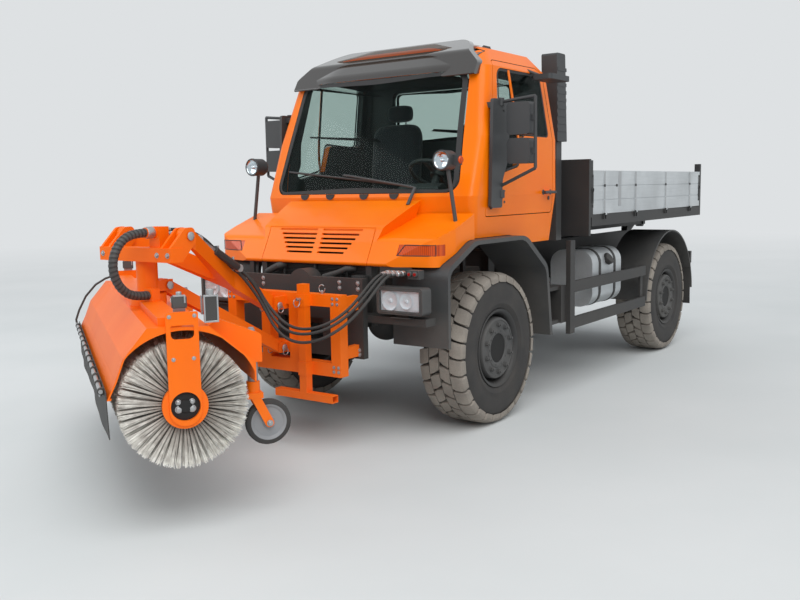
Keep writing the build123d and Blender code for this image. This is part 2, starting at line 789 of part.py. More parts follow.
def bed():
    plate_low = BED_TOP - 3 - FLOOR_T
    floor = block(BED_REAR, BED_FRONT, -BED_HALF, BED_HALF, plate_low, BED_TOP - 3)
    for side in (-1, 1):
        edge = side * BED_HALF
        floor += block(BED_REAR, BED_FRONT - 60, edge - side * 60, edge, BED_LOW, BED_TOP - 10)
        beam = block(BED_REAR + 20, BED_FRONT - 60, side * BEAM_IN, side * BEAM_OUT, BEAM_LOW, BED_TOP - 10)
        pivot_x, pivot_z = BED_PIVOT
        beam += rod((pivot_x, side * BEAM_IN, pivot_z), (pivot_x, side * BEAM_OUT, pivot_z), PIVOT_LUG_R)
        beam -= rod((pivot_x, side * 400, pivot_z), (pivot_x, side * 600, pivot_z), PIVOT_R + PIN_PLAY)
        floor += beam
        for x in (BED_REAR, BED_FRONT - 40 - POST_L):
            floor += block(x, x + POST_L, edge - side * 60, edge, BED_TOP - 20, BOARD_TOP + 85)
    floor += block(BED_FRONT - 40, BED_FRONT, -BED_HALF, BED_HALF, 1320, 1970)
    bearers = 6
    pitch = (BED_FRONT - 400 - BED_REAR - 100) / (bearers - 1)
    for index in range(bearers):
        x = BED_REAR + 100 + index * pitch
        floor += block(x - 25, x + 25, -BED_HALF + 60, BED_HALF - 60, BED_LOW + 10, BED_TOP - 10)
    floor += block(HOIST_X - 80, HOIST_X + 80, -80, 80, HOIST_TOP + SEAL_GAP, BED_TOP - 10)
    for x in RIB_PLACES:
        for ear in both_sides(side_hinge(x, BED_HALF)):
            floor += ear
    for place in GATE_PLACES:
        floor += Rot(0, 0, 90) * side_hinge(place, -BED_REAR)
    return floor


RIB_PLACES = [BED_FRONT - 317, BED_FRONT - 1044, BED_REAR + 1142, BED_REAR + 393]
GATE_PLACES = [-800, -270, 270, 800]
BOARD_FRONT = BED_FRONT - 40 - POST_L - 6
BOARD_REAR = BED_REAR + POST_L + 6
BOARD_SEAMS = [BED_TOP + 122, BED_TOP + 245]
SEAM_DEPTH = 5
EYE_HALF = 15
HINGE_PIN_R = 5


def side_hinge(x, face_y):
    # the bed's half of a drop-side hinge on its left face: two eyes and the pin through them
    y = face_y + HINGE_OUT
    hinge = rod((x - EYE_HALF - 12, y, BED_TOP), (x + EYE_HALF + 12, y, BED_TOP), HINGE_PIN_R)
    for side in (-1, 1):
        x0 = x + side * (EYE_HALF + 2)
        x1 = x + side * (EYE_HALF + 12)
        hinge += rod((x0, y, BED_TOP), (x1, y, BED_TOP), HINGE_R)
        hinge += block(x0, x1, face_y - 5, y, BED_TOP - 45, BED_TOP)
    return hinge


def board_eye(x, face_y):
    # the board's half of that hinge
    y = face_y + HINGE_OUT
    eye = block(x - EYE_HALF, x + EYE_HALF, face_y - 5, y, BED_TOP + 3, BED_TOP + 16)
    eye += rod((x - EYE_HALF, y, BED_TOP), (x + EYE_HALF, y, BED_TOP), HINGE_R)
    eye += block(x - EYE_HALF, x + EYE_HALF, y - 8, y, BED_TOP, BED_TOP + 16)
    return eye - rod((x - 40, y, BED_TOP), (x + 40, y, BED_TOP), HINGE_PIN_R + PIN_PLAY)


def side_board():
    board = block(BOARD_REAR, BOARD_FRONT, BED_HALF - BOARD_T, BED_HALF, BED_TOP + 3, BOARD_TOP)
    for z in BOARD_SEAMS:
        board -= block(BOARD_REAR - 5, BOARD_FRONT + 5, BED_HALF - SEAM_DEPTH, BED_HALF + 5, z - 3, z + 3)
    for x in RIB_PLACES:
        board += block(x - 15, x + 15, BED_HALF, BED_HALF + 5, BED_TOP + 3, BOARD_TOP)
        board += board_eye(x, BED_HALF)
    return board


def tailgate():
    y = BED_HALF - 66
    gate = block(BED_REAR, BED_REAR + BOARD_T, -y, y, BED_TOP + 3, BOARD_TOP)
    for z in BOARD_SEAMS:
        gate -= block(BED_REAR - 5, BED_REAR + SEAM_DEPTH, -y - 5, y + 5, z - 3, z + 3)
    for place in GATE_PLACES:
        gate += block(BED_REAR - 5, BED_REAR, place - 15, place + 15, BED_TOP + 3, BOARD_TOP)
        gate += Rot(0, 0, 90) * board_eye(place, -BED_REAR)
    return gate


# Broom carrier on the front plate
FRAME_BACK = 1160
FRAME_FRONT = 1240
FRAME_TOP = (980, 1060)
FRAME_FOOT = (510, 600)
LINK_HALF = 30
STEM_HALF = 45
EAR_GAP = 6
EAR_T = 18
LINK_PIN_R = 18
LOWER_BAR = 38
UPPER_BAR = 48
STAND_Y = 260
STAND_FOOT = 345
STAND_HALF = 30
SLEEVE_PLAY = 0.4
SLEEVE_T = 5
STAND_X = FRAME_FRONT + SLEEVE_T + SLEEVE_PLAY + STAND_HALF


def ears(x0, x1, z0, z1, half):
    # two plates, one each side of a link of this half width
    pieces = []
    for side in (-1, 1):
        pieces.append(block(x0, x1, side * (half + EAR_GAP), side * (half + EAR_GAP + EAR_T), z0, z1))
    return pieces[0] + pieces[1]


def link_pin(place, half):
    reach = half + EAR_GAP + EAR_T + 8
    return rod((place[0], -reach, place[1]), (place[0], reach, place[1]), LINK_PIN_R)


def link_bore(place, play=PIN_PLAY):
    return rod((place[0], -400, place[1]), (place[0], 400, place[1]), LINK_PIN_R + play)


def broom_frame():
    plate_face = RAIL_FRONT + 50
    frame = block(FRAME_BACK, FRAME_FRONT, -500, 540, *FRAME_TOP)
    frame += block(FRAME_BACK, FRAME_FRONT, -500, 540, *FRAME_FOOT)
    for y in (-460, -130, 130, 500):
        frame += block(FRAME_BACK, FRAME_FRONT, y - 40, y + 40, FRAME_FOOT[0], FRAME_TOP[1])
    frame += block(FRAME_BACK, LIFT_REAR[0] - LOWER_BAR - EAR_GAP, -130, 130, 640, 720)
    for y in (-460, 500):
        frame += block(plate_face, FRAME_BACK + 10, y - 20, y + 20, 940, 1040)
        frame += block(plate_face, FRAME_BACK + 10, y - 20, y + 20, 620, 700)
    frame += ears(FRAME_BACK + 20, LIFT_REAR[0] + 30, LIFT_REAR[1] - 35, LIFT_REAR[1] + 35, LINK_HALF)
    frame += ears(FRAME_BACK + 20, UPPER_REAR[0] + 35, UPPER_REAR[1] - 30, UPPER_REAR[1] + 60, STEM_HALF)
    frame += link_pin(LIFT_REAR, LINK_HALF) + link_pin(UPPER_REAR, STEM_HALF)
    for low, high in (FRAME_TOP, FRAME_FOOT):
        outer = STAND_HALF + SLEEVE_PLAY + SLEEVE_T
        inner = STAND_HALF + SLEEVE_PLAY
        socket = block(STAND_X - outer - 1, STAND_X + outer, STAND_Y - outer, STAND_Y + outer, low, high)
        socket -= block(STAND_X - inner, STAND_X + inner, STAND_Y - inner, STAND_Y + inner, low - 5, high + 5)
        frame += socket
    return frame


def stand():
    half = STAND_HALF
    foot = block(STAND_X - half, STAND_X + half, 0, 515, STAND_FOOT, STAND_FOOT + 50)
    foot -= block(STAND_X - half + 5, STAND_X + half - 5, -5, 520, STAND_FOOT + 5, STAND_FOOT + 45)
    post = block(STAND_X - half, STAND_X + half, STAND_Y - half, STAND_Y + half, STAND_FOOT + 50, 1130)
    return foot + post


def lower_link():
    link = bar(LIFT_REAR, LIFT_FRONT, -LINK_HALF, LINK_HALF, LOWER_BAR)
    return link - link_bore(LIFT_REAR) - link_bore(LIFT_FRONT)


def upper_arms():
    # a single boom at the rear that forks into two arms
    split_x = 1700
    tip_x = UPPER_FRONT[0] + UPPER_BAR + 10
    back_x = UPPER_REAR[0] - UPPER_BAR - 10
    outline = [
        (back_x, -STEM_HALF, 0),
        (split_x, -STEM_HALF, 60),
        (UPPER_FRONT[0] - 60, -UPPER_Y - 20, 20),
        (tip_x, -UPPER_Y - 20, 0),
        (tip_x, -UPPER_Y + 20, 0),
        (UPPER_FRONT[0] - 60, -UPPER_Y + 20, 20),
        (split_x + 90, 0, 40),
        (UPPER_FRONT[0] - 60, UPPER_Y - 20, 20),
        (tip_x, UPPER_Y - 20, 0),
        (tip_x, UPPER_Y + 20, 0),
        (UPPER_FRONT[0] - 60, UPPER_Y + 20, 20),
        (split_x, STEM_HALF, 60),
        (back_x, STEM_HALF, 0),
    ]
    boom = bar(UPPER_REAR, UPPER_FRONT, -UPPER_Y - 40, UPPER_Y + 40, UPPER_BAR)
    boom &= plan_prism(outline, 800, 1700)
    lug = side_prism([(1600, 1130, 0), (1720, 1190, 0), (1700, 1250, 25), (1650, 1245, 25)], -12, 12)
    return boom + lug - link_bore(UPPER_REAR) - link_bore(UPPER_FRONT, OPEN_PLAY)


SWIVEL_PIN_R = 32
HOSE_END = 2320
HOSE_BLOCK_FRONT = 2390
LOOM_START = 2454
LOOM_END = 2454
COVER_TOP = COVER_SECTION[3][1]
SWIVEL_SEAT = 1165


def headstock():
    beam = block(2345, 2435, -320, 320, 1360, 1440)
    post = rod((SWIVEL_X, 0, SWIVEL_SEAT + 5), (SWIVEL_X, 0, 1400), 62)
    stem = beam + post + ears(LIFT_FRONT[0] - 30, SWIVEL_X, LIFT_FRONT[1] - 30, LIFT_FRONT[1] + 35, LINK_HALF)
    stem += link_pin(LIFT_FRONT, LINK_HALF)
    gusset = [(2240, 1470, 30), (2345, 1362, 0), (2432, 1362, 0)]
    gusset += [(2432, 1440, 20), (2320, 1550, 40), (2250, 1555, 30)]
    for side in (-1, 1):
        for inner in (UPPER_Y - 20 - EAR_GAP - EAR_T, UPPER_Y + 20 + EAR_GAP):
            y0, y1 = sorted((side * inner, side * (inner + EAR_T)))
            stem += side_prism(gusset, y0, y1)
        reach = 20 + EAR_GAP + EAR_T + 6
        pin = rod(
            (UPPER_FRONT[0], side * UPPER_Y - reach, UPPER_FRONT[1]),
            (UPPER_FRONT[0], side * UPPER_Y + reach, UPPER_FRONT[1]),
            LINK_PIN_R,
        )
        stem += pin
    stem += block(HOSE_END, HOSE_BLOCK_FRONT, 85, 175, 1435, 1560)
    stem += rod((HOSE_BLOCK_FRONT, 128, 1528), (LOOM_START, 128, 1528), 30)
    return stem - rod((SWIVEL_X, 0, 1100), (SWIVEL_X, 0, 1300), SWIVEL_PIN_R + PIN_PLAY)


# The broom itself, drawn straight ahead about its swivel and turned into place at the end
ARM_HALF = 80
ARM_TOP = 1165
DISC_R = 115
HUB_HOLE_R = 74
SHAFT_R = 30
CASTER_SPINDLE_A = CASTER_A + CASTER_TRAIL
CASTER_PLACES = {"near": CASTER_B, "far": COVER_FAR + COVER_NEAR - CASTER_B}
CASTER_Z = 510
FORK_TOP = 740


def in_broom(piece):
    return Location((SWIVEL_X, 0, 0)) * Rot(0, 0, SWIVEL_DEG) * piece


def broom_cover():
    section = [(a, z, 0) for a, z in COVER_SECTION]
    lip_a, lip_z = COVER_SECTION[0]
    rear_a, rear_z = COVER_SECTION[-1]
    shell = side_prism(section, COVER_FAR, COVER_NEAR)
    shell -= side_prism(section, COVER_FAR - 5, COVER_NEAR + 5, COVER_T)
    opening = [
        (lip_a - COVER_T, lip_z - 30, 0),
        (COVER_SECTION[1][0] - COVER_T - 4, COVER_SECTION[1][1], 0),
        (rear_a + COVER_T, rear_z + 30, 0),
        (rear_a + COVER_T, rear_z - 30, 0),
    ]
    shell -= side_prism(opening, COVER_FAR - 5, COVER_NEAR + 5)
    for b in (COVER_FAR, COVER_NEAR - END_PLATE_T):
        plate = side_prism(section, b, b + END_PLATE_T)
        plate -= rod((BRUSH_A, b - 5, BRUSH_Z), (BRUSH_A, b + 20, BRUSH_Z), CUTOUT_R)
        shell += plate
    beam = rod((0, 0, COVER_TOP - 10), (0, 0, SWIVEL_SEAT), 105)
    beam += rod((0, 0, SWIVEL_SEAT), (0, 0, SWIVEL_SEAT + 125), SWIVEL_PIN_R)
    beam += block(-60, 60, COVER_FAR + 60, COVER_NEAR - 60, COVER_TOP - 12, COVER_TOP + 40)
    beam -= side_prism(section, COVER_FAR, COVER_NEAR, -SEAL_GAP)
    manifold = block(LOOM_END - 59, LOOM_END, 95, 161, COVER_TOP + 35, 1205)
    return [in_broom(shell), in_broom(beam) + manifold]


def bearing_arms():
    pieces = []
    ends = ((COVER_NEAR, 1), (COVER_FAR, -1))
    for end, out in ends:
        outer = end + out * 10
        arm = [
            (BRUSH_A - ARM_HALF, ARM_TOP, 8),
            (BRUSH_A + ARM_HALF, ARM_TOP, 8),
            (BRUSH_A + ARM_HALF, BRUSH_Z - 100, 78),
            (BRUSH_A - ARM_HALF, BRUSH_Z - 100, 78),
        ]
        slot = [(BRUSH_A - 57, 1030, 25), (BRUSH_A + 57, 1030, 25)]
        slot += [(BRUSH_A + 57, 1100, 8), (BRUSH_A - 57, 1100, 8)]
        y0, y1 = sorted((end, outer))
        piece = side_prism(arm, y0, y1)
        piece -= side_prism(slot, y0 - 5, y1 + 5)
        hole_from = (BRUSH_A, end - out * 20, BRUSH_Z)
        piece -= rod(hole_from, (BRUSH_A, outer + out * 5, BRUSH_Z), HUB_HOLE_R)
        disc = rod((BRUSH_A, end - out * 28, BRUSH_Z), (BRUSH_A, end, BRUSH_Z), DISC_R)
        disc -= rod((BRUSH_A, end - out * 12, BRUSH_Z), (BRUSH_A, end + out, BRUSH_Z), HUB_HOLE_R)
        disc -= rod((BRUSH_A, end - out * 40, BRUSH_Z), (BRUSH_A, end, BRUSH_Z), SHAFT_R + PIN_PLAY)
        pieces.append(in_broom(piece + disc))
    return pieces


BRISTLE_ROWS = 36
BRISTLE_DIP = 45


def brush():
    # rows of bristles with a dip between them, all along the roll
    points = []
    for row in range(BRISTLE_ROWS):
        for radius, share in ((BRUSH_R, -0.2), (BRUSH_R, 0.2), (BRUSH_R - BRISTLE_DIP, 0.5)):
            angle = (row + share) * math.tau / BRISTLE_ROWS
            points.append((BRUSH_A + radius * math.sin(angle), BRUSH_Z - radius * math.cos(angle)))
    face = make_face(Polyline(*points, close=True))
    roll = extrude(Plane.XZ.offset(-BRUSH_NEAR) * face, BRUSH_NEAR - BRUSH_FAR)
    roll += rod((BRUSH_A, BRUSH_FAR - 26, BRUSH_Z), (BRUSH_A, BRUSH_NEAR + 26, BRUSH_Z), SHAFT_R)
    return in_broom(roll)


CASTER_PIN_R = 20


def caster_posts():
    pieces = []
    rear_a = COVER_SECTION[-1][0]
    cover_solid = side_prism([(a, z, 0) for a, z in COVER_SECTION], COVER_FAR, COVER_NEAR, -SEAL_GAP)
    outline = [
        (CASTER_SPINDLE_A - 45, 850, 0),
        (rear_a, 850, 0),
        (-200, 1060, 0),
        (-260, 1095, 20),
        (CASTER_SPINDLE_A - 45, 1000, 20),
    ]
    for b in CASTER_PLACES.values():
        box = side_prism(outline, b - 45, b + 45) - cover_solid
        post = rod((CASTER_SPINDLE_A, b, FORK_TOP - 55), (CASTER_SPINDLE_A, b, 860), CASTER_PIN_R)
        pieces.append(in_broom(box + post))
    return pieces


def caster_fork(b):
    head = rod((CASTER_SPINDLE_A, b, FORK_TOP - 60), (CASTER_SPINDLE_A, b, FORK_TOP), 36)
    bore_r = CASTER_PIN_R + PIN_PLAY
    head -= rod((CASTER_SPINDLE_A, b, FORK_TOP - 58), (CASTER_SPINDLE_A, b, FORK_TOP + 5), bore_r)
    crown = block(CASTER_SPINDLE_A - 45, CASTER_SPINDLE_A + 40, b - 44, b + 44, FORK_TOP - 90, FORK_TOP - 59)
    fork = head + crown
    for side in (-1, 1):
        y0, y1 = sorted((b + side * 32, b + side * 42))
        fork += bar((CASTER_A, CASTER_Z), (CASTER_SPINDLE_A - 5, FORK_TOP - 85), y0, y1, 24)
    fork += rod((CASTER_A, b - 48, CASTER_Z), (CASTER_A, b + 48, CASTER_Z), 10)
    return in_broom(fork)


def caster_wheel(b):
    wheel = rod((CASTER_A, b - 24, CASTER_Z), (CASTER_A, b + 24, CASTER_Z), CASTER_R)
    wheel -= rod((CASTER_A, b - 60, CASTER_Z), (CASTER_A, b + 60, CASTER_Z), 10 + PIN_PLAY)
    return in_broom(wheel)


def skirt():
    lip_a, lip_z = COVER_SECTION[0]
    sheet = block(lip_a, lip_a + 8, COVER_FAR, COVER_NEAR, 560, lip_z + 45)
    return in_broom(sheet)


# Hydraulic hoses: from the couplings they hang in front of the carrier, climb onto the boom and end
# in the headstock's block. From there a loom in a spiral sleeve bends over to the broom's manifold.
HOSE_R = 10
LOOM_R = 26
FEED_ROUTES = [
    [
        (COUPLING_FACE, 705, 1190), (1010, 705, 1190), (1090, 690, 1140), (1165, 658, 1055),
        (1245, 610, 965), (1325, 540, 895), (1390, 445, 855), (1425, 340, 848), (1440, 240, 880),
        (1455, 150, 955), (1485, 90, 1050), (1520, 70, 1135), (1580, 47, 1205), (1650, 30, 1240),
        (1740, 34, 1285), (1830, 60, 1333), (1920, 102, 1380), (2010, 135, 1430),
        (2100, 140, 1475), (2160, 132, 1492), (2240, 108, 1515), (HOSE_END, 108, 1515),
    ],
    [
        (COUPLING_FACE, 745, 1190), (1015, 745, 1190), (1100, 728, 1130), (1180, 692, 1038),
        (1262, 640, 945), (1345, 565, 872), (1412, 466, 828), (1449, 352, 818), (1464, 246, 848),
        (1478, 162, 925), (1503, 118, 1020), (1540, 94, 1110), (1590, 70, 1196), (1665, 50, 1262),
        (1750, 46, 1312), (1840, 76, 1360), (1930, 116, 1412), (2020, 142, 1470),
        (2110, 146, 1514), (2170, 142, 1530), (2245, 130, 1540), (HOSE_END, 130, 1540),
    ],
    [
        (COUPLING_FACE, 785, 1190), (1012, 785, 1190), (1096, 770, 1132), (1175, 736, 1036),
        (1260, 682, 932), (1345, 602, 842), (1412, 496, 782), (1450, 380, 762), (1466, 268, 785),
        (1482, 176, 862), (1504, 134, 962), (1545, 112, 1050), (1600, 88, 1140), (1665, 66, 1226),
        (1750, 62, 1283), (1840, 90, 1330), (1930, 140, 1388), (2020, 164, 1446),
        (2110, 168, 1490), (2165, 163, 1505), (2243, 152, 1515), (HOSE_END, 152, 1515),
    ],
]
LOOM_ROUTE = [
    (LOOM_START, 128, 1528), (2549, 128, 1528), (2633, 128, 1480), (2681, 128, 1397),
    (2681, 128, 1302), (2633, 128, 1219), (2549, 128, 1171), (LOOM_END, 128, 1171),
]


def tube(route, radius):
    # straight runs joined by arcs as large as the runs allow
    points = [Vector(*point) for point in route]
    radii = []
    for before, corner, after in zip(points, points[1:], points[2:]):
        turn = (corner - before).get_angle(after - corner)
        shorter = min((corner - before).length, (after - corner).length)
        radii.append(0.45 * shorter / math.tan(math.radians(turn / 2)))
    line = FilletPolyline(*points, radius=radii)
    print("tube", round(line.length), "long, tightest bend", round(min(radii)))
    start = Plane(origin=line @ 0, z_dir=line % 0)
    return sweep(start * Circle(radius), path=line)


save("feed_hoses", *[tube(route, HOSE_R) for route in FEED_ROUTES])
save("swivel_loom", tube(LOOM_ROUTE, LOOM_R))
save("chassis_frame", *chassis_frame())
save("cross_members", *cross_members())
save("cab_mounts", *cab_mounts())
save("front_plate", *front_plate())
save("engine_block", engine_block())
save("front_axle", front_axle())
save("rear_axle", rear_axle())
save("cab_shell", cab_shell())
save("cab_glass", *cab_glass())
save("roof_visor", roof_visor())
save("seats", *seats())
save("dashboard", dashboard())
save("bonnet", bonnet())
save("service_flap", service_flap())
save("indicators", *indicators())
save("front_fenders", *front_fenders())
save("rear_mudguards", *rear_mudguards())
save("lamps", *lamps())
save("tail_lamps", *tail_lamps())
save("intake_stack", intake_stack())
save("fuel_tank", *fuel_tank())
save("side_guards", *side_guards())
save("tipping_frame", *tipping_frame())
save("tipping_bars", *tipping_bars())
save("bed", bed())
save("tailgate", tailgate())
save("broom_frame", broom_frame())
save("stand", stand())
save("lower_link", lower_link())
save("upper_arms", upper_arms())
save("headstock", headstock())
save("broom_cover", *broom_cover())
save("bearing_arms", *bearing_arms())
save("caster_posts", *caster_posts())
save("skirt", skirt())
save("brush", brush())

LEFT_PIECES = {
    "door": door(),
    "door_glass": door_glass(),
    "mirror": mirror_arm(),
    "knuckle": knuckle(),
    "side_board": side_board(),
}
for name, piece in LEFT_PIECES.items():
    if name == "mirror":
        save("mirror_left", piece, kerb_mirror())
    else:
        save(f"{name}_left", piece)
    save(f"{name}_right", mirror(piece, Plane.XZ))

WHEEL_PLACES = {"front": 0, "rear": REAR_AXLE}
for axle, x in WHEEL_PLACES.items():
    for name, side in (("left", 1), ("right", -1)):
        save(f"tyre_{axle}_{name}", tyre(x, side))
        save(f"rim_{axle}_{name}", rim(x, side))

for name, b in CASTER_PLACES.items():
    save(f"caster_fork_{name}", caster_fork(b))
    save(f"caster_wheel_{name}", caster_wheel(b))
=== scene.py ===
# %% [markdown]
# # A street sweeper truck, dressed in Blender
#
# The truck itself comes ready made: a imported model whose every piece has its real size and
# its real place. This lesson gives each surface its finish, adds the small things that a
# drawing office leaves out, such as bolts, bristles, tread and padding, and sets up a plain
# studio round it. Everything is in metres and nothing that comes with the model moves.

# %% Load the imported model
import math
import random

import bmesh
import bpy
from mathutils import Matrix, Vector
from mathutils.bvhtree import BVHTree


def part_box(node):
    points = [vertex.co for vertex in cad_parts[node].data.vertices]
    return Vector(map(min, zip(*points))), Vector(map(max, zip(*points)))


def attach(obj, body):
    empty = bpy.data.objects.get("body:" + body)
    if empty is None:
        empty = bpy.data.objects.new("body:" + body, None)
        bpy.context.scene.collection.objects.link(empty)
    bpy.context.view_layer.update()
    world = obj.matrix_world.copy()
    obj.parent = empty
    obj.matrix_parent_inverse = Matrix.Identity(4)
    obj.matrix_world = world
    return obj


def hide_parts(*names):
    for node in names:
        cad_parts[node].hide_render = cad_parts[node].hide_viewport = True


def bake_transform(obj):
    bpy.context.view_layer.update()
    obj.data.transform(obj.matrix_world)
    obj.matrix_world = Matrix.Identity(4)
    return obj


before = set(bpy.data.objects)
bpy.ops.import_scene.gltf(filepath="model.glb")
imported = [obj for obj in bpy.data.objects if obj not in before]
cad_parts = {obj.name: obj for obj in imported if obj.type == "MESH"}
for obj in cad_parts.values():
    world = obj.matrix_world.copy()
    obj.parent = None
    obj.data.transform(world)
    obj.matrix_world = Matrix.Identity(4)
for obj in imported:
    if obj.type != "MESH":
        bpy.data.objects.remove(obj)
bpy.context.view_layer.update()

# %% [markdown]
# ## Two ways to give a place
#
# Drawings of trucks measure from the front axle, so the numbers here do too. The model's
# own origin lies elsewhere, and `at` carries a place from one to the other. The
# broom is swivelled to one side. On the drawing it points straight ahead, so `on_broom`
# takes a place along the brush, across it and up, and turns it about the swivel.

# %% Places on the truck and on the broom
left_low, left_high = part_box("tyre_front_left")
right_low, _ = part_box("tyre_front_right")
AXLE_X = (left_low.x + left_high.x) / 2
MIDDLE_Y = (left_high.y + right_low.y) / 2

SWIVEL_X = 2.35
SWIVEL = math.radians(-32.4)


def at(x, y, z):
    return Vector((AXLE_X + x, MIDDLE_Y + y, z))


def on_broom(across, along, z):
    x = SWIVEL_X + across * math.cos(SWIVEL) - along * math.sin(SWIVEL)
    y = across * math.sin(SWIVEL) + along * math.cos(SWIVEL)
    return at(x, y, z)


print("front axle at", round(AXLE_X, 4), round(MIDDLE_Y, 4))

# %% [markdown]
# ## The camera
#
# The photograph was taken at eye height, some six metres from the left front corner. A
# camera needs three things: where it stands, where it points and how long its lens is.
# Turning yaw, pitch and roll into one matrix keeps them readable.

# %% Set up the camera
EYE = at(5.786, 4.304, 1.756)
YAW, PITCH, ROLL = math.radians(-144.26), math.radians(-7.07), math.radians(-1.02)
FOCAL_PIXELS = 903.45
FRAME_WIDTH = 800
SENSOR_MM = 36.0


def camera_axes(yaw, pitch, roll):
    level_share = math.cos(pitch)
    forward = Vector((math.cos(yaw) * level_share, math.sin(yaw) * level_share, math.sin(pitch)))
    level = Vector((math.sin(yaw), -math.cos(yaw), 0))
    up = level.cross(forward)
    right = level * math.cos(roll) + up * math.sin(roll)
    return right, up * math.cos(roll) - level * math.sin(roll), forward


right, up, forward = camera_axes(YAW, PITCH, ROLL)
camera_data = bpy.data.cameras.new("camera")
camera_data.sensor_width = SENSOR_MM
camera_data.lens = FOCAL_PIXELS * SENSOR_MM / FRAME_WIDTH
camera_data.clip_end = 200
camera = bpy.data.objects.new("camera", camera_data)
bpy.context.collection.objects.link(camera)
turn = Matrix((right, up, -forward)).transposed().to_4x4()
camera.matrix_world = Matrix.Translation(EYE) @ turn
bpy.context.scene.camera = camera
print("lens", round(camera_data.lens, 2), "mm")

# %% [markdown]
# ## Writing shader maths as sums
#
# Node trees grow long when each sum is a node placed by hand. `Wire` holds one output
# socket and answers to + - * /, so a mask can be written as a line of arithmetic. `Finish`
# holds one material. Its `node` method makes any node: settings first, then its sockets.

# %% A small language for nodes
class Wire:
    def __init__(self, finish, socket):
        self.finish = finish
        self.socket = socket

    def math(self, operation, first, second=0.0):
        return self.finish.node("ShaderNodeMath", {"operation": operation}, {0: first, 1: second})

    def __add__(self, other):
        return self.math("ADD", self, other)

    def __radd__(self, other):
        return self.math("ADD", other, self)

    def __sub__(self, other):
        return self.math("SUBTRACT", self, other)

    def __rsub__(self, other):
        return self.math("SUBTRACT", other, self)

    def __mul__(self, other):
        return self.math("MULTIPLY", self, other)

    def __rmul__(self, other):
        return self.math("MULTIPLY", other, self)

    def __truediv__(self, other):
        return self.math("DIVIDE", self, other)

    def __rtruediv__(self, other):
        return self.math("DIVIDE", other, self)

    def __pow__(self, other):
        return self.math("POWER", self, other)

    def clamp(self):
        return self.finish.node("ShaderNodeClamp", {}, {"Value": self})


class Finish:
    def __init__(self, name):
        self.material = bpy.data.materials.new(name)
        self.material.use_nodes = True
        self.tree = self.material.node_tree
        self.shader = self.tree.nodes["Principled BSDF"]

    def node(self, kind, settings, sockets, output=0):
        made = self.tree.nodes.new(kind)
        for key, value in settings.items():
            if key == "stops":
                self.set_stops(made.color_ramp, value)
            else:
                setattr(made, key, value)
        for key, value in sockets.items():
            self.feed(made.inputs[key], value)
        return Wire(self, made.outputs[output])

    def set_stops(self, ramp, stops):
        while len(ramp.elements) < len(stops):
            ramp.elements.new(0.5)
        for element, (place, shade) in zip(ramp.elements, stops):
            element.position = place
            element.color = (shade, shade, shade, 1)

    def feed(self, socket, value):
        if isinstance(value, Wire):
            self.tree.links.new(value.socket, socket)
        elif isinstance(value, tuple) and socket.type == "RGBA" and len(value) == 3:
            socket.default_value = (*value, 1)
        else:
            socket.default_value = value

    def set(self, **sockets):
        for key, value in sockets.items():
            self.feed(self.shader.inputs[key.replace("_", " ")], value)

    def place(self):
        return self.node("ShaderNodeTexCoord", {}, {}, output=3)

    def height(self):
        return self.node("ShaderNodeSeparateXYZ", {}, {0: self.place()}, output=2)

    def stretched(self, scale):
        return self.node("ShaderNodeMapping", {}, {"Vector": self.place(), "Scale": scale})

    def noise(self, scale, detail=3.0, place=None):
        sockets = {"Vector": place or self.place(), "Scale": scale, "Detail": detail}
        return self.node("ShaderNodeTexNoise", {}, sockets)

    def waves(self, direction, scale):
        sockets = {"Vector": self.place(), "Scale": scale}
        return self.node("ShaderNodeTexWave", {"bands_direction": direction}, sockets)

    def vector(self, operation, first, second=None, output=0):
        sockets = {0: first} if second is None else {0: first, 1: second}
        return self.node("ShaderNodeVectorMath", {"operation": operation}, sockets, output)

    def spread(self, value, low, high, new_low=0.0, new_high=1.0):
        sockets = {"Value": value, 1: low, 2: high, 3: new_low, 4: new_high}
        return self.node("ShaderNodeMapRange", {}, sockets)

    def mix(self, mask, first, second):
        sockets = {0: mask, 6: first, 7: second}
        return self.node("ShaderNodeMix", {"data_type": "RGBA"}, sockets, output=2)

    def bump(self, height, distance, strength=1.0, before=None):
        sockets = {"Height": height, "Distance": distance, "Strength": strength}
        if before:
            sockets["Normal"] = before
        return self.node("ShaderNodeBump", {}, sockets)


def srgb(red, green, blue):
    def linear(value):
        part = value / 255
        return part / 12.92 if part <= 0.04045 else ((part + 0.055) / 1.055) ** 2.4

    return (linear(red), linear(green), linear(blue))


print("shader helpers ready")

# %% [markdown]
# ## Sprayed paint
#
# The cab has a deep glossy orange, the broom a satin one straight from the workshop. Paint
# is never one colour: it fades a little in broad patches, it has a faint orange-peel
# ripple, and dust settles on what is low. All three come from noise, and the dust from
# the height of the surface as well. Inside, the cab's thin shell is lined in dark grey. The
# shell is one piece, so the paint itself finds the surfaces that face the cab's middle.

# %% Paint with dust
DUST = srgb(150, 138, 120)
LINING = srgb(58, 62, 63)
CAB_HEART = at(-0.42, 0, 2.15)
CAB_HALF = (0.75, 0.98, 0.72)


def inside_cab(made):
    # 1 where a surface near the middle of the cab faces that middle, 0 elsewhere
    apart = made.vector("SUBTRACT", made.place(), tuple(CAB_HEART))
    facing = made.node("ShaderNodeTexCoord", {}, {}, output=1)
    outward = made.vector("DOT_PRODUCT", apart, facing, output=1)
    size = made.vector("ABSOLUTE", made.vector("DIVIDE", apart, CAB_HALF))
    parts = [made.node("ShaderNodeSeparateXYZ", {}, {0: size}, output=number) for number in range(3)]
    largest = parts[0].math("MAXIMUM", parts[0], parts[1])
    largest = largest.math("MAXIMUM", largest, parts[2])
    turned_in = made.spread(outward, -0.16, -0.12, 1.0, 0.0)
    return turned_in * made.spread(largest, 1.0, 1.02, 1.0, 0.0)


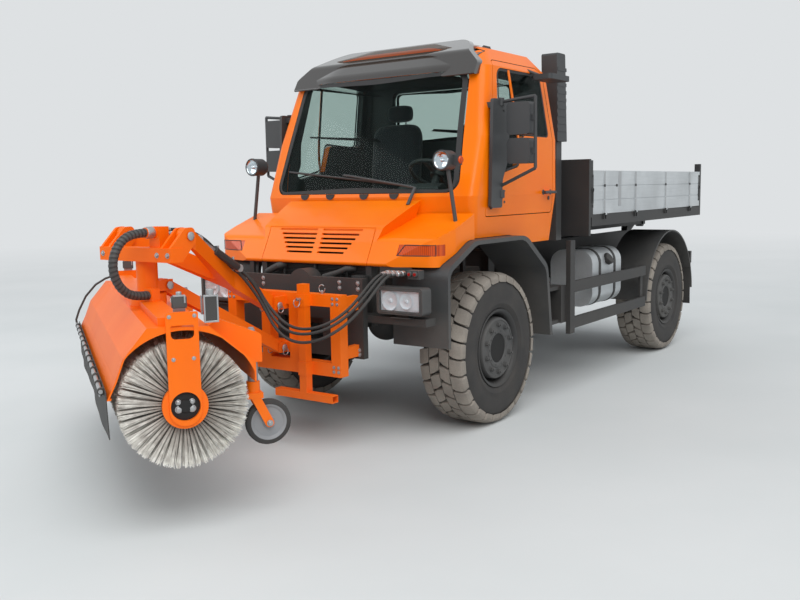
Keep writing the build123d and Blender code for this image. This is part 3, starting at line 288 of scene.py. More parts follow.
def paint(name, colour, shade, gloss, coat, dust_low, dust_high, dust_most, lined=False):
    made = Finish(name)
    patches = made.noise(1.6, 4.0)
    body = made.mix(made.spread(patches, 0.35, 0.65), colour, shade)
    if lined:
        body = made.mix(inside_cab(made), body, LINING)
    low = made.spread(made.height(), dust_low, dust_high, dust_most, 0.0)
    streaks = made.noise(7.0, 6.0, made.stretched((1.0, 1.0, 0.35)))
    dust = (low * made.spread(streaks, 0.3, 0.7, 0.35, 1.0)).clamp()
    made.set(Base_Color=made.mix(dust, body, DUST))
    made.set(Roughness=gloss + dust * 0.4 + patches * 0.08)
    made.set(Coat_Weight=coat - dust * coat)
    made.shader.inputs["Coat Roughness"].default_value = 0.05
    made.shader.inputs["Specular IOR Level"].default_value = 0.2
    made.set(Normal=made.bump(made.noise(160.0, 1.0), 0.0004, 0.35))
    return made.material


CAB_ORANGE = paint(
    "cab_orange", srgb(253, 126, 0), srgb(247, 116, 0),
    gloss=0.3, coat=0.13, dust_low=0.6, dust_high=1.5, dust_most=0.1, lined=True,
)
BROOM_ORANGE = paint(
    "broom_orange", srgb(252, 115, 0), srgb(245, 105, 0),
    gloss=0.42, coat=0.06, dust_low=0.3, dust_high=1.3, dust_most=0.1,
)
print("two oranges made")

# %% [markdown]
# ## Metal
#
# The chassis is black paint dulled by dust. Castings are rougher and greyer. Bare
# aluminium boards show the faint lines of the press they were drawn through, so their
# noise is pulled out along the truck.

# %% Chassis, castings, steel and aluminium
def dusty_metal(name, colour, dusty, gloss, metallic, grain, dust_most):
    made = Finish(name)
    clouds = made.noise(2.2, 6.0)
    low = made.spread(made.height(), 0.3, 1.5, dust_most, dust_most * 0.35)
    dust = (low * made.spread(clouds, 0.3, 0.7, 0.3, 1.0)).clamp()
    made.set(Base_Color=made.mix(dust, colour, dusty))
    made.set(Roughness=gloss + dust * 0.3)
    made.set(Metallic=metallic - dust * metallic)
    made.set(Normal=made.bump(made.noise(grain, 3.0), 0.0006, 0.5))
    return made.material


CHASSIS_BLACK = dusty_metal("chassis_black", srgb(34, 35, 37), srgb(88, 84, 79), 0.5, 0.0, 60.0, 0.6)
CAST_GREY = dusty_metal("cast_grey", srgb(70, 70, 70), srgb(112, 103, 92), 0.62, 0.2, 120.0, 0.8)
ZINC = dusty_metal("zinc_steel", srgb(176, 178, 180), srgb(128, 122, 112), 0.34, 0.85, 90.0, 0.3)
RIM_GREY = dusty_metal("rim_grey", srgb(40, 41, 44), srgb(84, 80, 74), 0.45, 0.1, 70.0, 0.45)


def drawn_aluminium(name, colour, shade, direction):
    made = Finish(name)
    lines = made.noise(60.0, 3.0, made.stretched(direction))
    stains = made.noise(2.4, 5.0)
    body = made.mix(made.spread(stains, 0.35, 0.7), colour, shade)
    made.set(Base_Color=made.mix(made.spread(lines, 0.4, 0.6, 0.0, 0.18), body, shade))
    made.set(Roughness=0.4 + lines * 0.16)
    made.set(Metallic=0.55)
    made.set(Normal=made.bump(lines, 0.0003, 0.4))
    return made.material


ALUMINIUM = drawn_aluminium("drawn_aluminium", srgb(208, 212, 214), srgb(184, 188, 190), (0.05, 1.0, 1.0))
print("metals made")

# %% [markdown]
# ## Moulded plastic and rubber
#
# Moulded plastic and rubber have a fine leathery grain from their mould. Cells of a Voronoi
# texture behind a bump give it. The tyres carry dried mud, most of it on the tread, so they
# have a rubber of their own that mixes two noises, one for patches and one for grit.

# %% Plastics, rubbers and tyres
def moulded(name, colour, dusty, gloss, grain, depth, dust_most, coat=0.0):
    made = Finish(name)
    clouds = made.noise(3.0, 5.0)
    low = made.spread(made.height(), 0.4, 2.0, dust_most, dust_most * 0.2)
    dust = (low * made.spread(clouds, 0.3, 0.7, 0.3, 1.0)).clamp()
    made.set(Base_Color=made.mix(dust, colour, dusty))
    made.set(Roughness=gloss + dust * 0.25)
    cells = made.node("ShaderNodeTexVoronoi", {}, {"Vector": made.place(), "Scale": grain})
    made.set(Normal=made.bump(cells, depth, 0.5))
    made.shader.inputs["Coat Weight"].default_value = coat
    made.shader.inputs["Coat Roughness"].default_value = 0.04
    return made.material


BLACK_PLASTIC = moulded("black_plastic", srgb(52, 55, 58), srgb(118, 112, 104), 0.5, 260.0, 0.0005, 0.5)
VISOR_PLASTIC = moulded("visor_plastic", srgb(44, 40, 38), srgb(70, 66, 62), 0.14, 40.0, 0.00002, 0.1, 1.0)
SOFT_RUBBER = moulded("soft_rubber", srgb(34, 35, 37), srgb(92, 88, 82), 0.62, 180.0, 0.0004, 0.5)
CABIN_PLASTIC = moulded("cabin_plastic", srgb(48, 52, 54), srgb(60, 62, 62), 0.6, 300.0, 0.0004, 0.1)
CASTER_RUBBER = moulded("caster_rubber", srgb(120, 121, 124), srgb(136, 132, 126), 0.6, 220.0, 0.0003, 0.5)


def tyre_rubber(name, clean, dusty, dust_least, dust_most):
    made = Finish(name)
    clouds = made.noise(5.0, 8.0)
    grit = made.noise(90.0, 4.0)
    patches = made.spread(clouds, 0.25, 0.7, dust_least, dust_most)
    dust = (patches * made.spread(grit, 0.3, 0.7, 0.75, 1.0)).clamp()
    made.set(Base_Color=made.mix(dust, clean, dusty))
    made.set(Roughness=0.72 + dust * 0.2)
    made.set(Normal=made.bump(grit, 0.0012, 0.6))
    return made.material


TYRE_RUBBER = tyre_rubber("tyre_rubber", srgb(40, 40, 41), srgb(84, 79, 74), 0.05, 0.5)
TREAD_RUBBER = tyre_rubber("tread_rubber", srgb(100, 94, 88), srgb(160, 152, 142), 0.3, 1.0)
CASTER_DISC = moulded("caster_disc", srgb(142, 144, 148), srgb(120, 116, 110), 0.5, 200.0, 0.0002, 0.4)
LAMP_SILVER = dusty_metal("lamp_silver", srgb(244, 246, 248), srgb(220, 222, 224), 0.3, 0.2, 400.0, 0.05)
FLANGE_GREY = dusty_metal("flange_grey", srgb(68, 69, 71), srgb(100, 97, 92), 0.5, 0.15, 90.0, 0.6)
# near black, darker than any paint: painted shade in the wheel hubs' bores and in the sheets behind the
# grille slots; the brush hubs are black in it as well
BLACK_AND_PAINTED_SHADE = moulded("black_and_painted_shade", srgb(14, 14, 15), srgb(34, 32, 30), 0.7, 200.0, 0.0002, 0.4)
print("plastics and rubbers made")

# %% [markdown]
# ## Glass and lenses
#
# A window pane lets most light straight through, faintly green, and throws some back, more
# at a glancing angle. Bending the light as thick glass does would only darken the cab, so
# the pane mixes a see-through shader with a glossy one by how far it is turned away. Lamp
# lenses are coloured plastic with small ribs.

# %% Glass and coloured lenses
def window_glass(name, tint, extra):
    made = Finish(name)
    made.set(Base_Color=(0.01, 0.015, 0.015), Roughness=0.03)
    clear = made.node("ShaderNodeBsdfTransparent", {}, {"Color": tint})
    # Fresnel would count a ray that leaves the pane as shut in, so Facing gives the glance
    slant = made.node("ShaderNodeLayerWeight", {}, {"Blend": 0.5}, output="Facing")
    glance = made.node("ShaderNodeMath", {"operation": "POWER"}, {0: slant, 1: 4.0})
    own = Wire(made, made.shader.outputs[0])
    share = (glance * 0.55 + extra).clamp()
    pane = made.node("ShaderNodeMixShader", {}, {0: share, 1: clear, 2: own})
    made.feed(made.tree.nodes["Material Output"].inputs["Surface"], pane)
    return made.material


def ribbed_lens(name, colour, shade, pitch):
    made = Finish(name)
    ribs = made.waves("Y", pitch)
    made.set(Base_Color=made.mix(ribs, colour, shade), Roughness=0.12 + ribs * 0.1)
    made.set(Normal=made.bump(ribs, 0.0008, 0.4))
    made.shader.inputs["Coat Weight"].default_value = 0.25
    made.shader.inputs["Specular IOR Level"].default_value = 0.3
    return made.material


WINDOW = window_glass("window_glass", (0.84, 0.9, 0.88), 0.07)
VISOR_SMOKE = window_glass("visor_smoke", (0.62, 0.52, 0.46), 0.08)
LAMP_GLASS = window_glass("lamp_glass", (0.97, 0.99, 1.0), 0.05)
AMBER_LENS = ribbed_lens("amber_lens", srgb(214, 82, 0), srgb(176, 56, 0), 24.0)
RED_LENS = ribbed_lens("red_lens", srgb(176, 22, 16), srgb(130, 12, 10), 30.0)


def mirror_silver():
    made = Finish("mirror_silver")
    smear = made.noise(14.0, 4.0)
    made.set(Base_Color=(0.82, 0.84, 0.86), Metallic=1.0, Roughness=0.03 + smear * 0.05)
    return made.material


MIRROR_SILVER = mirror_silver()
print("glass and lenses made")

# %% [markdown]
# ## Cloth and bristle
#
# The seats wear a dark woven cloth. A weave is two sets of ribs at right angles, and the
# product of two wave textures gives exactly that. Bristles are off-white plastic wire. Less
# light reaches their roots and dirt stays there, so their colour is painted darker towards the
# roll's axis: painted shade and dirt together.

# %% Cloth and bristle
THREADS = 260.0


def seat_cloth():
    made = Finish("seat_cloth")
    weave = made.waves("Y", THREADS) * made.waves("Z", THREADS)
    fleck = made.noise(500.0, 2.0)
    shade = made.spread(fleck, 0.45, 0.62)
    made.set(Base_Color=made.mix(shade, srgb(40, 44, 50), srgb(66, 70, 76)))
    made.set(Roughness=0.9)
    made.set(Normal=made.bump(weave, 0.0008, 0.6))
    made.shader.inputs["Sheen Weight"].default_value = 0.3
    return made.material


def bristle_plastic():
    made = Finish("bristle_plastic")
    strand = made.noise(30.0, 2.0)
    # how far a place is from the roll's axis, which lies level and turned by SWIVEL
    line = Vector((-math.sin(SWIVEL), math.cos(SWIVEL), 0))
    middle = on_broom(-0.05, 0, 0.688)
    apart = made.vector("SUBTRACT", made.place(), tuple(middle))
    off = made.vector("CROSS_PRODUCT", apart, tuple(line))
    radius = made.vector("LENGTH", off, output=1)
    # painted shade and dirt: the colour darkens from the tips towards the roots near the roll's axis
    tip = made.spread(radius, 0.12, 0.33, 0.12, 1.0)
    root_shade_and_dirt = (tip * made.spread(strand, 0.3, 0.7, 0.55, 1.1)).clamp()
    made.set(Base_Color=made.mix(root_shade_and_dirt, srgb(122, 110, 100), srgb(247, 245, 237)))
    made.set(Roughness=0.5 + strand * 0.2)
    return made.material


SEAT_CLOTH = seat_cloth()
BRISTLE = bristle_plastic()
print("cloth and bristle made")

# %% [markdown]
# ## A finish for every piece of the model
#
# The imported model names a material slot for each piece. A table of slots and finishes is
# all that a loop needs to dress every piece, and one line changes the colour of a whole kind.

# %% Hand the finishes out
SLOT_FINISH = {
    "orange_paint": CAB_ORANGE,
    "work_orange": BROOM_ORANGE,
    "black_plastic": BLACK_PLASTIC,
    "visor_plastic": VISOR_PLASTIC,
    "dark_steel": CHASSIS_BLACK,
    "grey_steel": RIM_GREY,
    "cast_grey": CAST_GREY,
    "bare_aluminium": ALUMINIUM,
    "tyre_rubber": TREAD_RUBBER,
    "soft_rubber": SOFT_RUBBER,
    "tinted_glass": WINDOW,
    "lamp_lens": LAMP_GLASS,
    "amber_lens": AMBER_LENS,
    "red_lens": RED_LENS,
    "seat_fabric": SEAT_CLOTH,
    "bristle": BRISTLE,
    "caster_rubber": CASTER_RUBBER,
}

finished = 0
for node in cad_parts.values():
    for place in node.material_slots:
        slot_name = place.material.name.split(".")[0]
        if slot_name in SLOT_FINISH:
            place.material = SLOT_FINISH[slot_name]
            finished += 1
print(finished, "slots finished")

# %% [markdown]
# ## Small shapes out of corners and faces
#
# Every added piece is a mesh, and each is made of a few kinds of form: a block, a turned
# form such as a bolt or a bowl, a bent rod, or a row of outlines joined up. `Shape` gathers
# such forms in the truck's own measures and ends as one piece that rides on a body. Gathering
# many bolts in one mesh keeps the number of pieces small. `surface_at` drops a straight line
# on a piece of the model, so that what is screwed to a curved panel sits on it exactly.

# %% A gatherer of shapes
FORWARD, BACKWARD = (1, 0, 0), (-1, 0, 0)
UP, DOWN = (0, 0, 1), (0, 0, -1)
LEFT = (0, 1, 0)
SIDES = ((1, "left"), (-1, "right"))
# how far out a line starts that is dropped on a door from the side, on the cab from above and
# on the cab from in front
BESIDE, ABOVE, AHEAD = 1.4, 3.2, 1.2


class Shape:
    def __init__(self, place=at):
        self.place = place
        self.corners = []
        self.faces = []

    def add(self, corners, faces):
        first = len(self.corners)
        self.corners += [self.place(*corner) for corner in corners]
        self.faces += [[first + index for index in face] for face in faces]

    def block(self, x0, x1, y0, y1, z0, z1):
        corners = [(x, y, z) for x in (x0, x1) for y in (y0, y1) for z in (z0, z1)]
        sides = [(0, 1, 3, 2), (4, 6, 7, 5), (0, 4, 5, 1), (2, 3, 7, 6), (0, 2, 6, 4), (1, 5, 7, 3)]
        self.add(corners, sides)

    def rings(self, rings, open_ends=False):
        count = len(rings[0])
        corners = [corner for ring in rings for corner in ring]
        faces = []
        for row in range(len(rings) - 1):
            for step in range(count):
                after = (step + 1) % count
                first = row * count
                above = first + count
                faces.append((first + step, first + after, above + after, above + step))
        if not open_ends:
            last = (len(rings) - 1) * count
            faces.append(tuple(range(count))[::-1])
            faces.append(tuple(range(last, last + count)))
        self.add(corners, faces)

    def turned(self, start, along, rows, sides=20, open_ends=False):
        # rows of (distance along the axis, radius)
        axis = Vector(along).normalized()
        across = axis.orthogonal().normalized()
        third = axis.cross(across)
        rings = []
        for distance, radius in rows:
            ring = []
            for step in range(sides):
                angle = step * math.tau / sides
                out = across * math.cos(angle) + third * math.sin(angle)
                ring.append(Vector(start) + axis * distance + out * radius)
            rings.append(ring)
        self.rings(rings, open_ends)

    def rod(self, points, radius, sides=10):
        # a round bar along straight runs, its rings halfway between them at each corner
        points = [Vector(point) for point in points]
        across = (points[1] - points[0]).orthogonal().normalized()
        rings = []
        for index, point in enumerate(points):
            before = points[max(index - 1, 0)]
            after = points[min(index + 1, len(points) - 1)]
            axis = (after - before).normalized()
            across = (across - axis * across.dot(axis)).normalized()
            third = axis.cross(across)
            ring = []
            for step in range(sides):
                angle = step * math.tau / sides
                ring.append(point + (across * math.cos(angle) + third * math.sin(angle)) * radius)
            rings.append(ring)
        self.rings(rings)

    def bolt(self, start, along, size):
        self.turned(start, along, [(0, size * 1.5), (size * 0.15, size * 1.5)], 16)
        self.turned(start, along, [(size * 0.1, size), (size * 0.8, size), (size * 0.95, size * 0.8)], 6)

    def piece(self, name, body, finish, bevel=0.0, angle=32, replaces=()):
        mesh = bpy.data.meshes.new(name)
        mesh.from_pydata(self.corners, [], self.faces)
        work = bmesh.new()
        work.from_mesh(mesh)
        bmesh.ops.recalc_face_normals(work, faces=work.faces)
        work.to_mesh(mesh)
        work.free()
        mesh.materials.append(finish)
        mesh.polygons.foreach_set("use_smooth", [True] * len(mesh.polygons))
        mesh.set_sharp_from_angle(angle=math.radians(angle))
        made = bpy.data.objects.new(name, mesh)
        bpy.context.collection.objects.link(made)
        if bevel:
            edge = made.modifiers.new("edge", "BEVEL")
            edge.width = bevel
            edge.segments = 2
            edge.limit_method = "ANGLE"
        if body:
            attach(made, body)
        if replaces:
            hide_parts(*replaces)
        print(name, len(mesh.polygons), "faces")
        return made


def in_place(x, y, z):
    return Vector((x, y, z))


def side_view(x, z, y):
    return (x, y, z)


def front_view(y, z, x):
    return (x, y, z)


TREES = {}


def surface_at(node_name, start, direction):
    # the first point of that piece of the model on a line, and which way its surface faces there
    if node_name not in TREES:
        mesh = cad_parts[node_name].data
        corners = [corner.co for corner in mesh.vertices]
        faces = [list(face.vertices) for face in mesh.polygons]
        TREES[node_name] = BVHTree.FromPolygons(corners, faces)
    place, normal, _, _ = TREES[node_name].ray_cast(at(*start), Vector(direction))
    if place is None:
        place, normal, _, _ = TREES[node_name].find_nearest(at(*start) + Vector(direction))
        print("beside", node_name, [round(value, 3) for value in start])
    return place - at(0, 0, 0), normal


def from_side(node_name, x, z, side):
    # where a level line from that side of the truck meets the piece
    return surface_at(node_name, (x, side * BESIDE, z), (0, -side, 0))


def at_x(x, outline):
    return [(x, y, z) for y, z in outline]


def at_y(y, outline):
    return [(x, y, z) for x, z in outline]


print("shape helpers ready")

# %% [markdown]
# ## Hoses
#
# A hydraulic hose is a fixed length of stiff rubber tube. It leaves its coupling straight,
# sags, and climbs to where it is clamped. One smooth curve through few points gives that
# line better than many points would, because the curve itself keeps the bends even. Three
# feed the broom. A thick loom in a spiral sleeve goes on from the headstock to the broom.

# %% Lay the hoses
FEED_ROUTES = [
    [
        (943, 705, 1190), (1010, 705, 1190), (1090, 690, 1140), (1165, 658, 1055),
        (1245, 610, 965), (1325, 540, 895), (1390, 445, 855), (1425, 340, 848), (1440, 240, 880),
        (1455, 150, 955), (1485, 90, 1050), (1520, 70, 1135), (1580, 47, 1205), (1650, 30, 1240),
        (1740, 34, 1285), (1830, 60, 1333), (1920, 102, 1380), (2010, 135, 1430),
        (2100, 140, 1475), (2160, 132, 1492), (2240, 108, 1515), (2320, 108, 1515),
    ],
    [
        (943, 745, 1190), (1015, 745, 1190), (1100, 728, 1130), (1180, 692, 1038),
        (1262, 640, 945), (1345, 565, 872), (1412, 466, 828), (1449, 352, 818), (1464, 246, 848),
        (1478, 162, 925), (1503, 118, 1020), (1540, 94, 1110), (1590, 70, 1196), (1665, 50, 1262),
        (1750, 46, 1312), (1840, 76, 1360), (1930, 116, 1412), (2020, 142, 1470),
        (2110, 146, 1514), (2170, 142, 1530), (2245, 130, 1540), (2320, 130, 1540),
    ],
    [
        (943, 785, 1190), (1012, 785, 1190), (1096, 770, 1132), (1175, 736, 1036),
        (1260, 682, 932), (1345, 602, 842), (1412, 496, 782), (1450, 380, 762), (1466, 268, 785),
        (1482, 176, 862), (1504, 134, 962), (1545, 112, 1050), (1600, 88, 1140), (1665, 66, 1226),
        (1750, 62, 1283), (1840, 90, 1330), (1930, 140, 1388), (2020, 164, 1446),
        (2110, 168, 1490), (2165, 163, 1505), (2243, 152, 1515), (2320, 152, 1515),
    ],
]
LOOM_ROUTE = [
    (2454, 128, 1528), (2549, 128, 1528), (2633, 128, 1480), (2681, 128, 1397),
    (2681, 128, 1302), (2633, 128, 1219), (2549, 128, 1171), (2454, 128, 1171),
]


def smooth_line(name, route, thickness):
    line = bpy.data.curves.new(name, "CURVE")
    line.dimensions = "3D"
    line.bevel_depth = thickness / 2
    line.bevel_resolution = 4
    line.resolution_u = 10
    run = line.splines.new("NURBS")
    run.points.add(len(route) - 1)
    for point, place in zip(run.points, route):
        point.co = (*at(*(value / 1000 for value in place)), 1)
    run.order_u = 3
    run.use_endpoint_u = True
    made = bpy.data.objects.new(name, line)
    mesh = bpy.data.meshes.new_from_object(made)
    bpy.data.objects.remove(made)
    return mesh


def length_of(points):
    return sum((after - before).length for before, after in zip(points, points[1:]))


def lay_hose(name, route, diameter, hides):
    points = [corner.co.copy() for corner in smooth_line(name + "_line", route, 0).vertices]
    mesh = smooth_line(name, route, diameter)
    mesh.materials.clear()
    mesh.materials.append(SOFT_RUBBER)
    mesh.polygons.foreach_set("use_smooth", [True] * len(mesh.polygons))
    hose = bpy.data.objects.new(name, mesh)
    bpy.context.collection.objects.link(hose)
    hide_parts(hides)
    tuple(points[0])
    length_of(points)
    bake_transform(hose)
    print(name, round(length_of(points), 3), "m")
    return points


HOSE_D = 0.02
LOOM_D = 0.048
FEED_BEND = (at(1.34, 0.1, 1.0), at(1.62, 0.1, 1.15))
LOOM_BEND = (at(2.5, 0.128, 1.5), at(2.5, 0.128, 1.2))
for number, route in enumerate(FEED_ROUTES, 1):
    lay_hose(f"feed_hose_{number}", route, HOSE_D, "feed_hoses")
loom_line = lay_hose("loom", LOOM_ROUTE, LOOM_D, "swivel_loom")

# %% [markdown]
# ## The loom's spiral sleeve and the hoses' fittings
#
# A spiral sleeve is a flat plastic strip wound round the bundle with a gap between its
# turns. The strip follows the bundle's line: at each small step along it, a short piece of
# strip is set at the next angle. Each hose ends in a pressed steel sleeve and a nut.

# %% Spiral sleeve and fittings
def wind_strip(shape, points, radius, pitch, share, thick):
    travelled = 0.0
    across = Vector(LEFT)
    steps = 12
    half = pitch * share / 2
    rings = []
    for before, after in zip(points, points[1:]):
        run = after - before
        axis = run.normalized()
        across = (across - axis * across.dot(axis)).normalized()
        third = axis.cross(across)
        count = max(int(run.length / (pitch / steps)), 1)
        for step in range(count):
            angle = math.tau * (travelled + run.length * step / count) / pitch
            out = across * math.cos(angle) + third * math.sin(angle)
            centre = before + run * (step / count)
            low = centre + out * radius
            high = centre + out * (radius + thick)
            rings.append([low - axis * half, high - axis * half, high + axis * half, low + axis * half])
        travelled += run.length
    shape.rings(rings)


sleeve = Shape(in_place)
wind_strip(sleeve, loom_line, 0.0225, 0.024, 0.6, 0.0035)
sleeve_piece = sleeve.piece("loom_sleeve", None, BLACK_PLASTIC)
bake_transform(sleeve_piece)

COUPLER = [(0, 0.0145), (0.004, 0.019), (0.03, 0.019), (0.034, 0.015)]
COUPLER_NUT = [(0, 0.0135), (0.016, 0.0135)]
SLEEVE = [
    (0, 0.011), (0.002, 0.0145), (0.03, 0.0145), (0.032, 0.0125), (0.044, 0.0125), (0.046, 0.011),
]
DUST_PLUG = [(0, 0.013), (0.004, 0.016), (0.03, 0.016), (0.036, 0.01)]
LOOM_COLLAR = [(0, 0.032), (0.006, 0.034), (0.04, 0.034), (0.05, 0.031)]
COUPLING_Z = 1.19
USED_COUPLINGS, SPARE_COUPLING = (0.705, 0.745, 0.785), 0.825
fittings = Shape()
for y in (*USED_COUPLINGS, SPARE_COUPLING):
    fittings.turned((0.9, y, COUPLING_Z), FORWARD, COUPLER, 24)
    fittings.turned((0.934, y, COUPLING_Z), FORWARD, COUPLER_NUT, 6)
for y in USED_COUPLINGS:
    fittings.turned((0.944, y, COUPLING_Z), FORWARD, SLEEVE, 20)
fittings.turned((0.944, SPARE_COUPLING, COUPLING_Z), FORWARD, DUST_PLUG, 20)
fittings.piece("hose_couplings", "chassis", ZINC, 0.001)
ends = Shape()
for y, z in ((0.108, 1.515), (0.13, 1.54), (0.152, 1.515)):
    ends.turned((2.32, y, z), BACKWARD, SLEEVE, 20)
ends.turned((2.4, 0.128, 1.528), FORWARD, LOOM_COLLAR, 28)
ends.piece("hose_ends", "headstock", ZINC, 0.001)

# %% [markdown]
# ## Tyres with blocks of tread
#
# These tyres are made for fields and gravel. Blocks stand in four rows, each shifted by half
# a pitch from its neighbour, and the outer ones fold over the shoulder down the side wall.
# The side wall bulges and carries a rib that keeps stones off the rim. The round part is a
# turned profile, and each block is a short row of cross sections bent over the shoulder.

# %% Tyres
TYRE_R = 0.565
TREAD_FLOOR = 0.536
BLOCKS = 28
SIDE_WALL = [
    (0.262, 0.139), (0.275, 0.146), (0.292, 0.156), (0.3, 0.164), (0.325, 0.172), (0.331, 0.177),
    (0.338, 0.1785), (0.345, 0.176), (0.38, 0.1805), (0.42, 0.181), (0.45, 0.179), (0.48, 0.174),
    (0.505, 0.164), (0.522, 0.15), (0.532, 0.125), (TREAD_FLOOR, 0.08), (TREAD_FLOOR, 0.0),
]
# sections of a block in the inner and in the outer row: out from the middle, top radius, floor
# radius, half width and lean as shares of the pitch
INNER_BLOCK = [
    (0.004, 0.5645, 0.53, 0.34, 0.18),
    (0.042, 0.565, 0.53, 0.43, 0.05),
    (0.08, 0.5645, 0.53, 0.41, -0.09),
]
OUTER_BLOCK = [
    (0.087, 0.5645, 0.53, 0.38, 0.1),
    (0.12, 0.5625, 0.52, 0.43, 0.02),
    (0.15, 0.5555, 0.51, 0.43, -0.04),
    (0.172, 0.543, 0.5, 0.42, -0.06),
    (0.1815, 0.524, 0.492, 0.36, -0.06),
]
# the four rows of blocks: their sections, the side of the middle, and their shift in pitches
TREAD_ROWS = (
    (INNER_BLOCK, 1, 0.0), (INNER_BLOCK, -1, 0.5), (OUTER_BLOCK, 1, 0.5), (OUTER_BLOCK, -1, 0.0),
)
HALF_TRACK = 0.867
WHEELBASE = 3.6
# axle, side, place along the truck, and which way is out
WHEELS = [
    ("front", "left", 0.0, 1), ("front", "right", 0.0, -1),
    ("rear", "left", -WHEELBASE, 1), ("rear", "right", -WHEELBASE, -1),
]


def round_wheel(x, y):
    # a place on a wheel: radius, angle from the lowest point, and out from its middle plane
    def place(radius, angle, out):
        return (x + radius * math.sin(angle), y + out, TYRE_R - radius * math.cos(angle))
    return place


def tread_block(shape, place, rows, middle, side):
    pitch = math.tau / BLOCKS
    rings = []
    for out, top, floor, half, lean in rows:
        centre = middle + lean * pitch
        corners = ((floor, -half - 0.04), (top, -half), (top, half), (floor, half + 0.04))
        rings.append([place(radius, centre + share * pitch, side * out) for radius, share in corners])
    shape.rings(rings)


def dress_tyre(axle, name, x, side):
    place = round_wheel(x, side * HALF_TRACK)
    body = f"wheel_{axle}_{name}"
    wall = Shape()
    sections = [(radius, out) for radius, out in SIDE_WALL]
    sections += [(radius, -out) for radius, out in reversed(SIDE_WALL[:-1])]
    steps = 112
    rings = []
    for radius, out in sections:
        rings.append([place(radius, step * math.tau / steps, out) for step in range(steps)])
    wall.rings(rings, open_ends=True)
    wall.piece(f"tyre_wall_{axle}_{name}", body, TYRE_RUBBER, 0.0, 40, [f"tyre_{axle}_{name}"])
    tread = Shape()
    for number in range(BLOCKS):
        for rows, row, shift in TREAD_ROWS:
            tread_block(tread, place, rows, (number + shift) * math.tau / BLOCKS, row)
    tread.piece(f"tyre_tread_{axle}_{name}", body, TREAD_RUBBER, 0.0022, 26)


for wheel in WHEELS:
    dress_tyre(*wheel)

# %% [markdown]
# ## Rims, flanges and nuts
#
# A rim is one turned form: a rolled edge that holds the tyre, a barrel, and a disc that rises
# to a thick ring in front. Ten nuts sit on that ring, and the end of the portal hub shows
# deep inside it. Turning a list of distances and radii round the axle gives all of them.

# %% Rims and hubs
RIM = [
    (0.07, 0.03), (0.07, 0.225), (0.055, 0.24), (-0.12, 0.248), (-0.136, 0.26), (-0.15, 0.27),
    (-0.154, 0.288), (-0.147, 0.292), (-0.14, 0.284), (-0.128, 0.26), (-0.1, 0.256), (0.1, 0.256),
    (0.128, 0.26), (0.14, 0.284), (0.15, 0.2925), (0.166, 0.2925), (0.169, 0.29), (0.166, 0.278),
    (0.156, 0.266), (0.14, 0.258), (0.128, 0.252), (0.07, 0.246), (0.058, 0.241), (0.056, 0.236),
    (0.062, 0.233), (0.12, 0.231),
]
FLANGE = [
    (0.118, 0.2315), (0.15, 0.229), (0.16, 0.224), (0.165, 0.214), (0.165, 0.208), (0.161, 0.205),
    (0.161, 0.146), (0.165, 0.142), (0.166, 0.118), (0.162, 0.11), (0.154, 0.107),
]
BORE = [(0.156, 0.108), (0.15, 0.104), (0.1, 0.101), (0.094, 0.098), (0.094, 0.05)]
VALVE = [(0, 0.006), (0.03, 0.006), (0.032, 0.009), (0.045, 0.009), (0.047, 0.006)]


def dress_hub(axle, name, x, side):
    middle = (x, side * HALF_TRACK, TYRE_R)
    out = (0, side, 0)
    body = f"wheel_{axle}_{name}"

    def round_axle(radius, angle, distance):
        y = side * (HALF_TRACK + distance)
        return (x + radius * math.cos(angle), y, TYRE_R + radius * math.sin(angle))

    rim = Shape()
    rim.turned(middle, out, RIM, 80, open_ends=True)
    rim.turned(middle, out, [(0.068, 0.235), (0.072, 0.235), (0.074, 0.03)], 80)
    rim.turned((x + 0.2, side * 0.93, TYRE_R + 0.145), out, VALVE, 10)
    rim.piece(f"wheel_rim_{axle}_{name}", body, RIM_GREY, 0.0, 36, [f"rim_{axle}_{name}"])
    flange = Shape()
    flange.turned(middle, out, FLANGE, 72, open_ends=True)
    for number in range(10):
        angle = (number + 0.5) * math.tau / 10
        start = round_axle(0.176, angle, 0.161)
        flange.turned(start, out, [(0, 0.0205), (0.004, 0.0205)], 20)
        flange.turned(start, out, [(0.003, 0.0165), (0.019, 0.0165), (0.022, 0.0135)], 6)
        flange.turned(start, out, [(0.018, 0.0095), (0.03, 0.0095), (0.032, 0.008)], 12)
        flange.bolt(round_axle(0.126, angle + 0.3, 0.166), out, 0.005)
    flange.piece(f"wheel_flange_{axle}_{name}", body, FLANGE_GREY, 0.0006)
    # the bore and the hub end deep inside it are near black: painted shade in the recess
    bore = Shape()
    bore.turned(middle, out, BORE, 56)
    bore.turned(middle, out, [(0.09, 0.078), (0.116, 0.076), (0.122, 0.068), (0.123, 0.03)], 48)
    for number in range(8):
        bore.bolt(round_axle(0.06, number * math.tau / 8, 0.1215), out, 0.0055)
    bore.turned(middle, out, [(0.12, 0.024), (0.134, 0.023), (0.137, 0.018)], 6)
    bore.piece(f"wheel_hub_{axle}_{name}", body, BLACK_AND_PAINTED_SHADE, 0.0006)


for wheel in WHEELS:
    dress_hub(*wheel)

# %% [markdown]
# ## The brush
#
# The roll is a steel tube with rings of plastic bristles pushed over it, one after another.
# They stand in tufts, spread and bend at the tip and are never quite alike, so the roll
# looks soft at its edge. A three-sided wire in two runs is enough for a bristle. The end
# that faces the eye has many thin ones, and the rings behind it have fewer and thicker ones.

# %% Bristles
BRUSH_ACROSS, BRUSH_Z = -0.05, 0.688
NEAR_END, FAR_END = 0.92, -1.68
CORE_R, BRISTLE_R = 0.112, 0.33


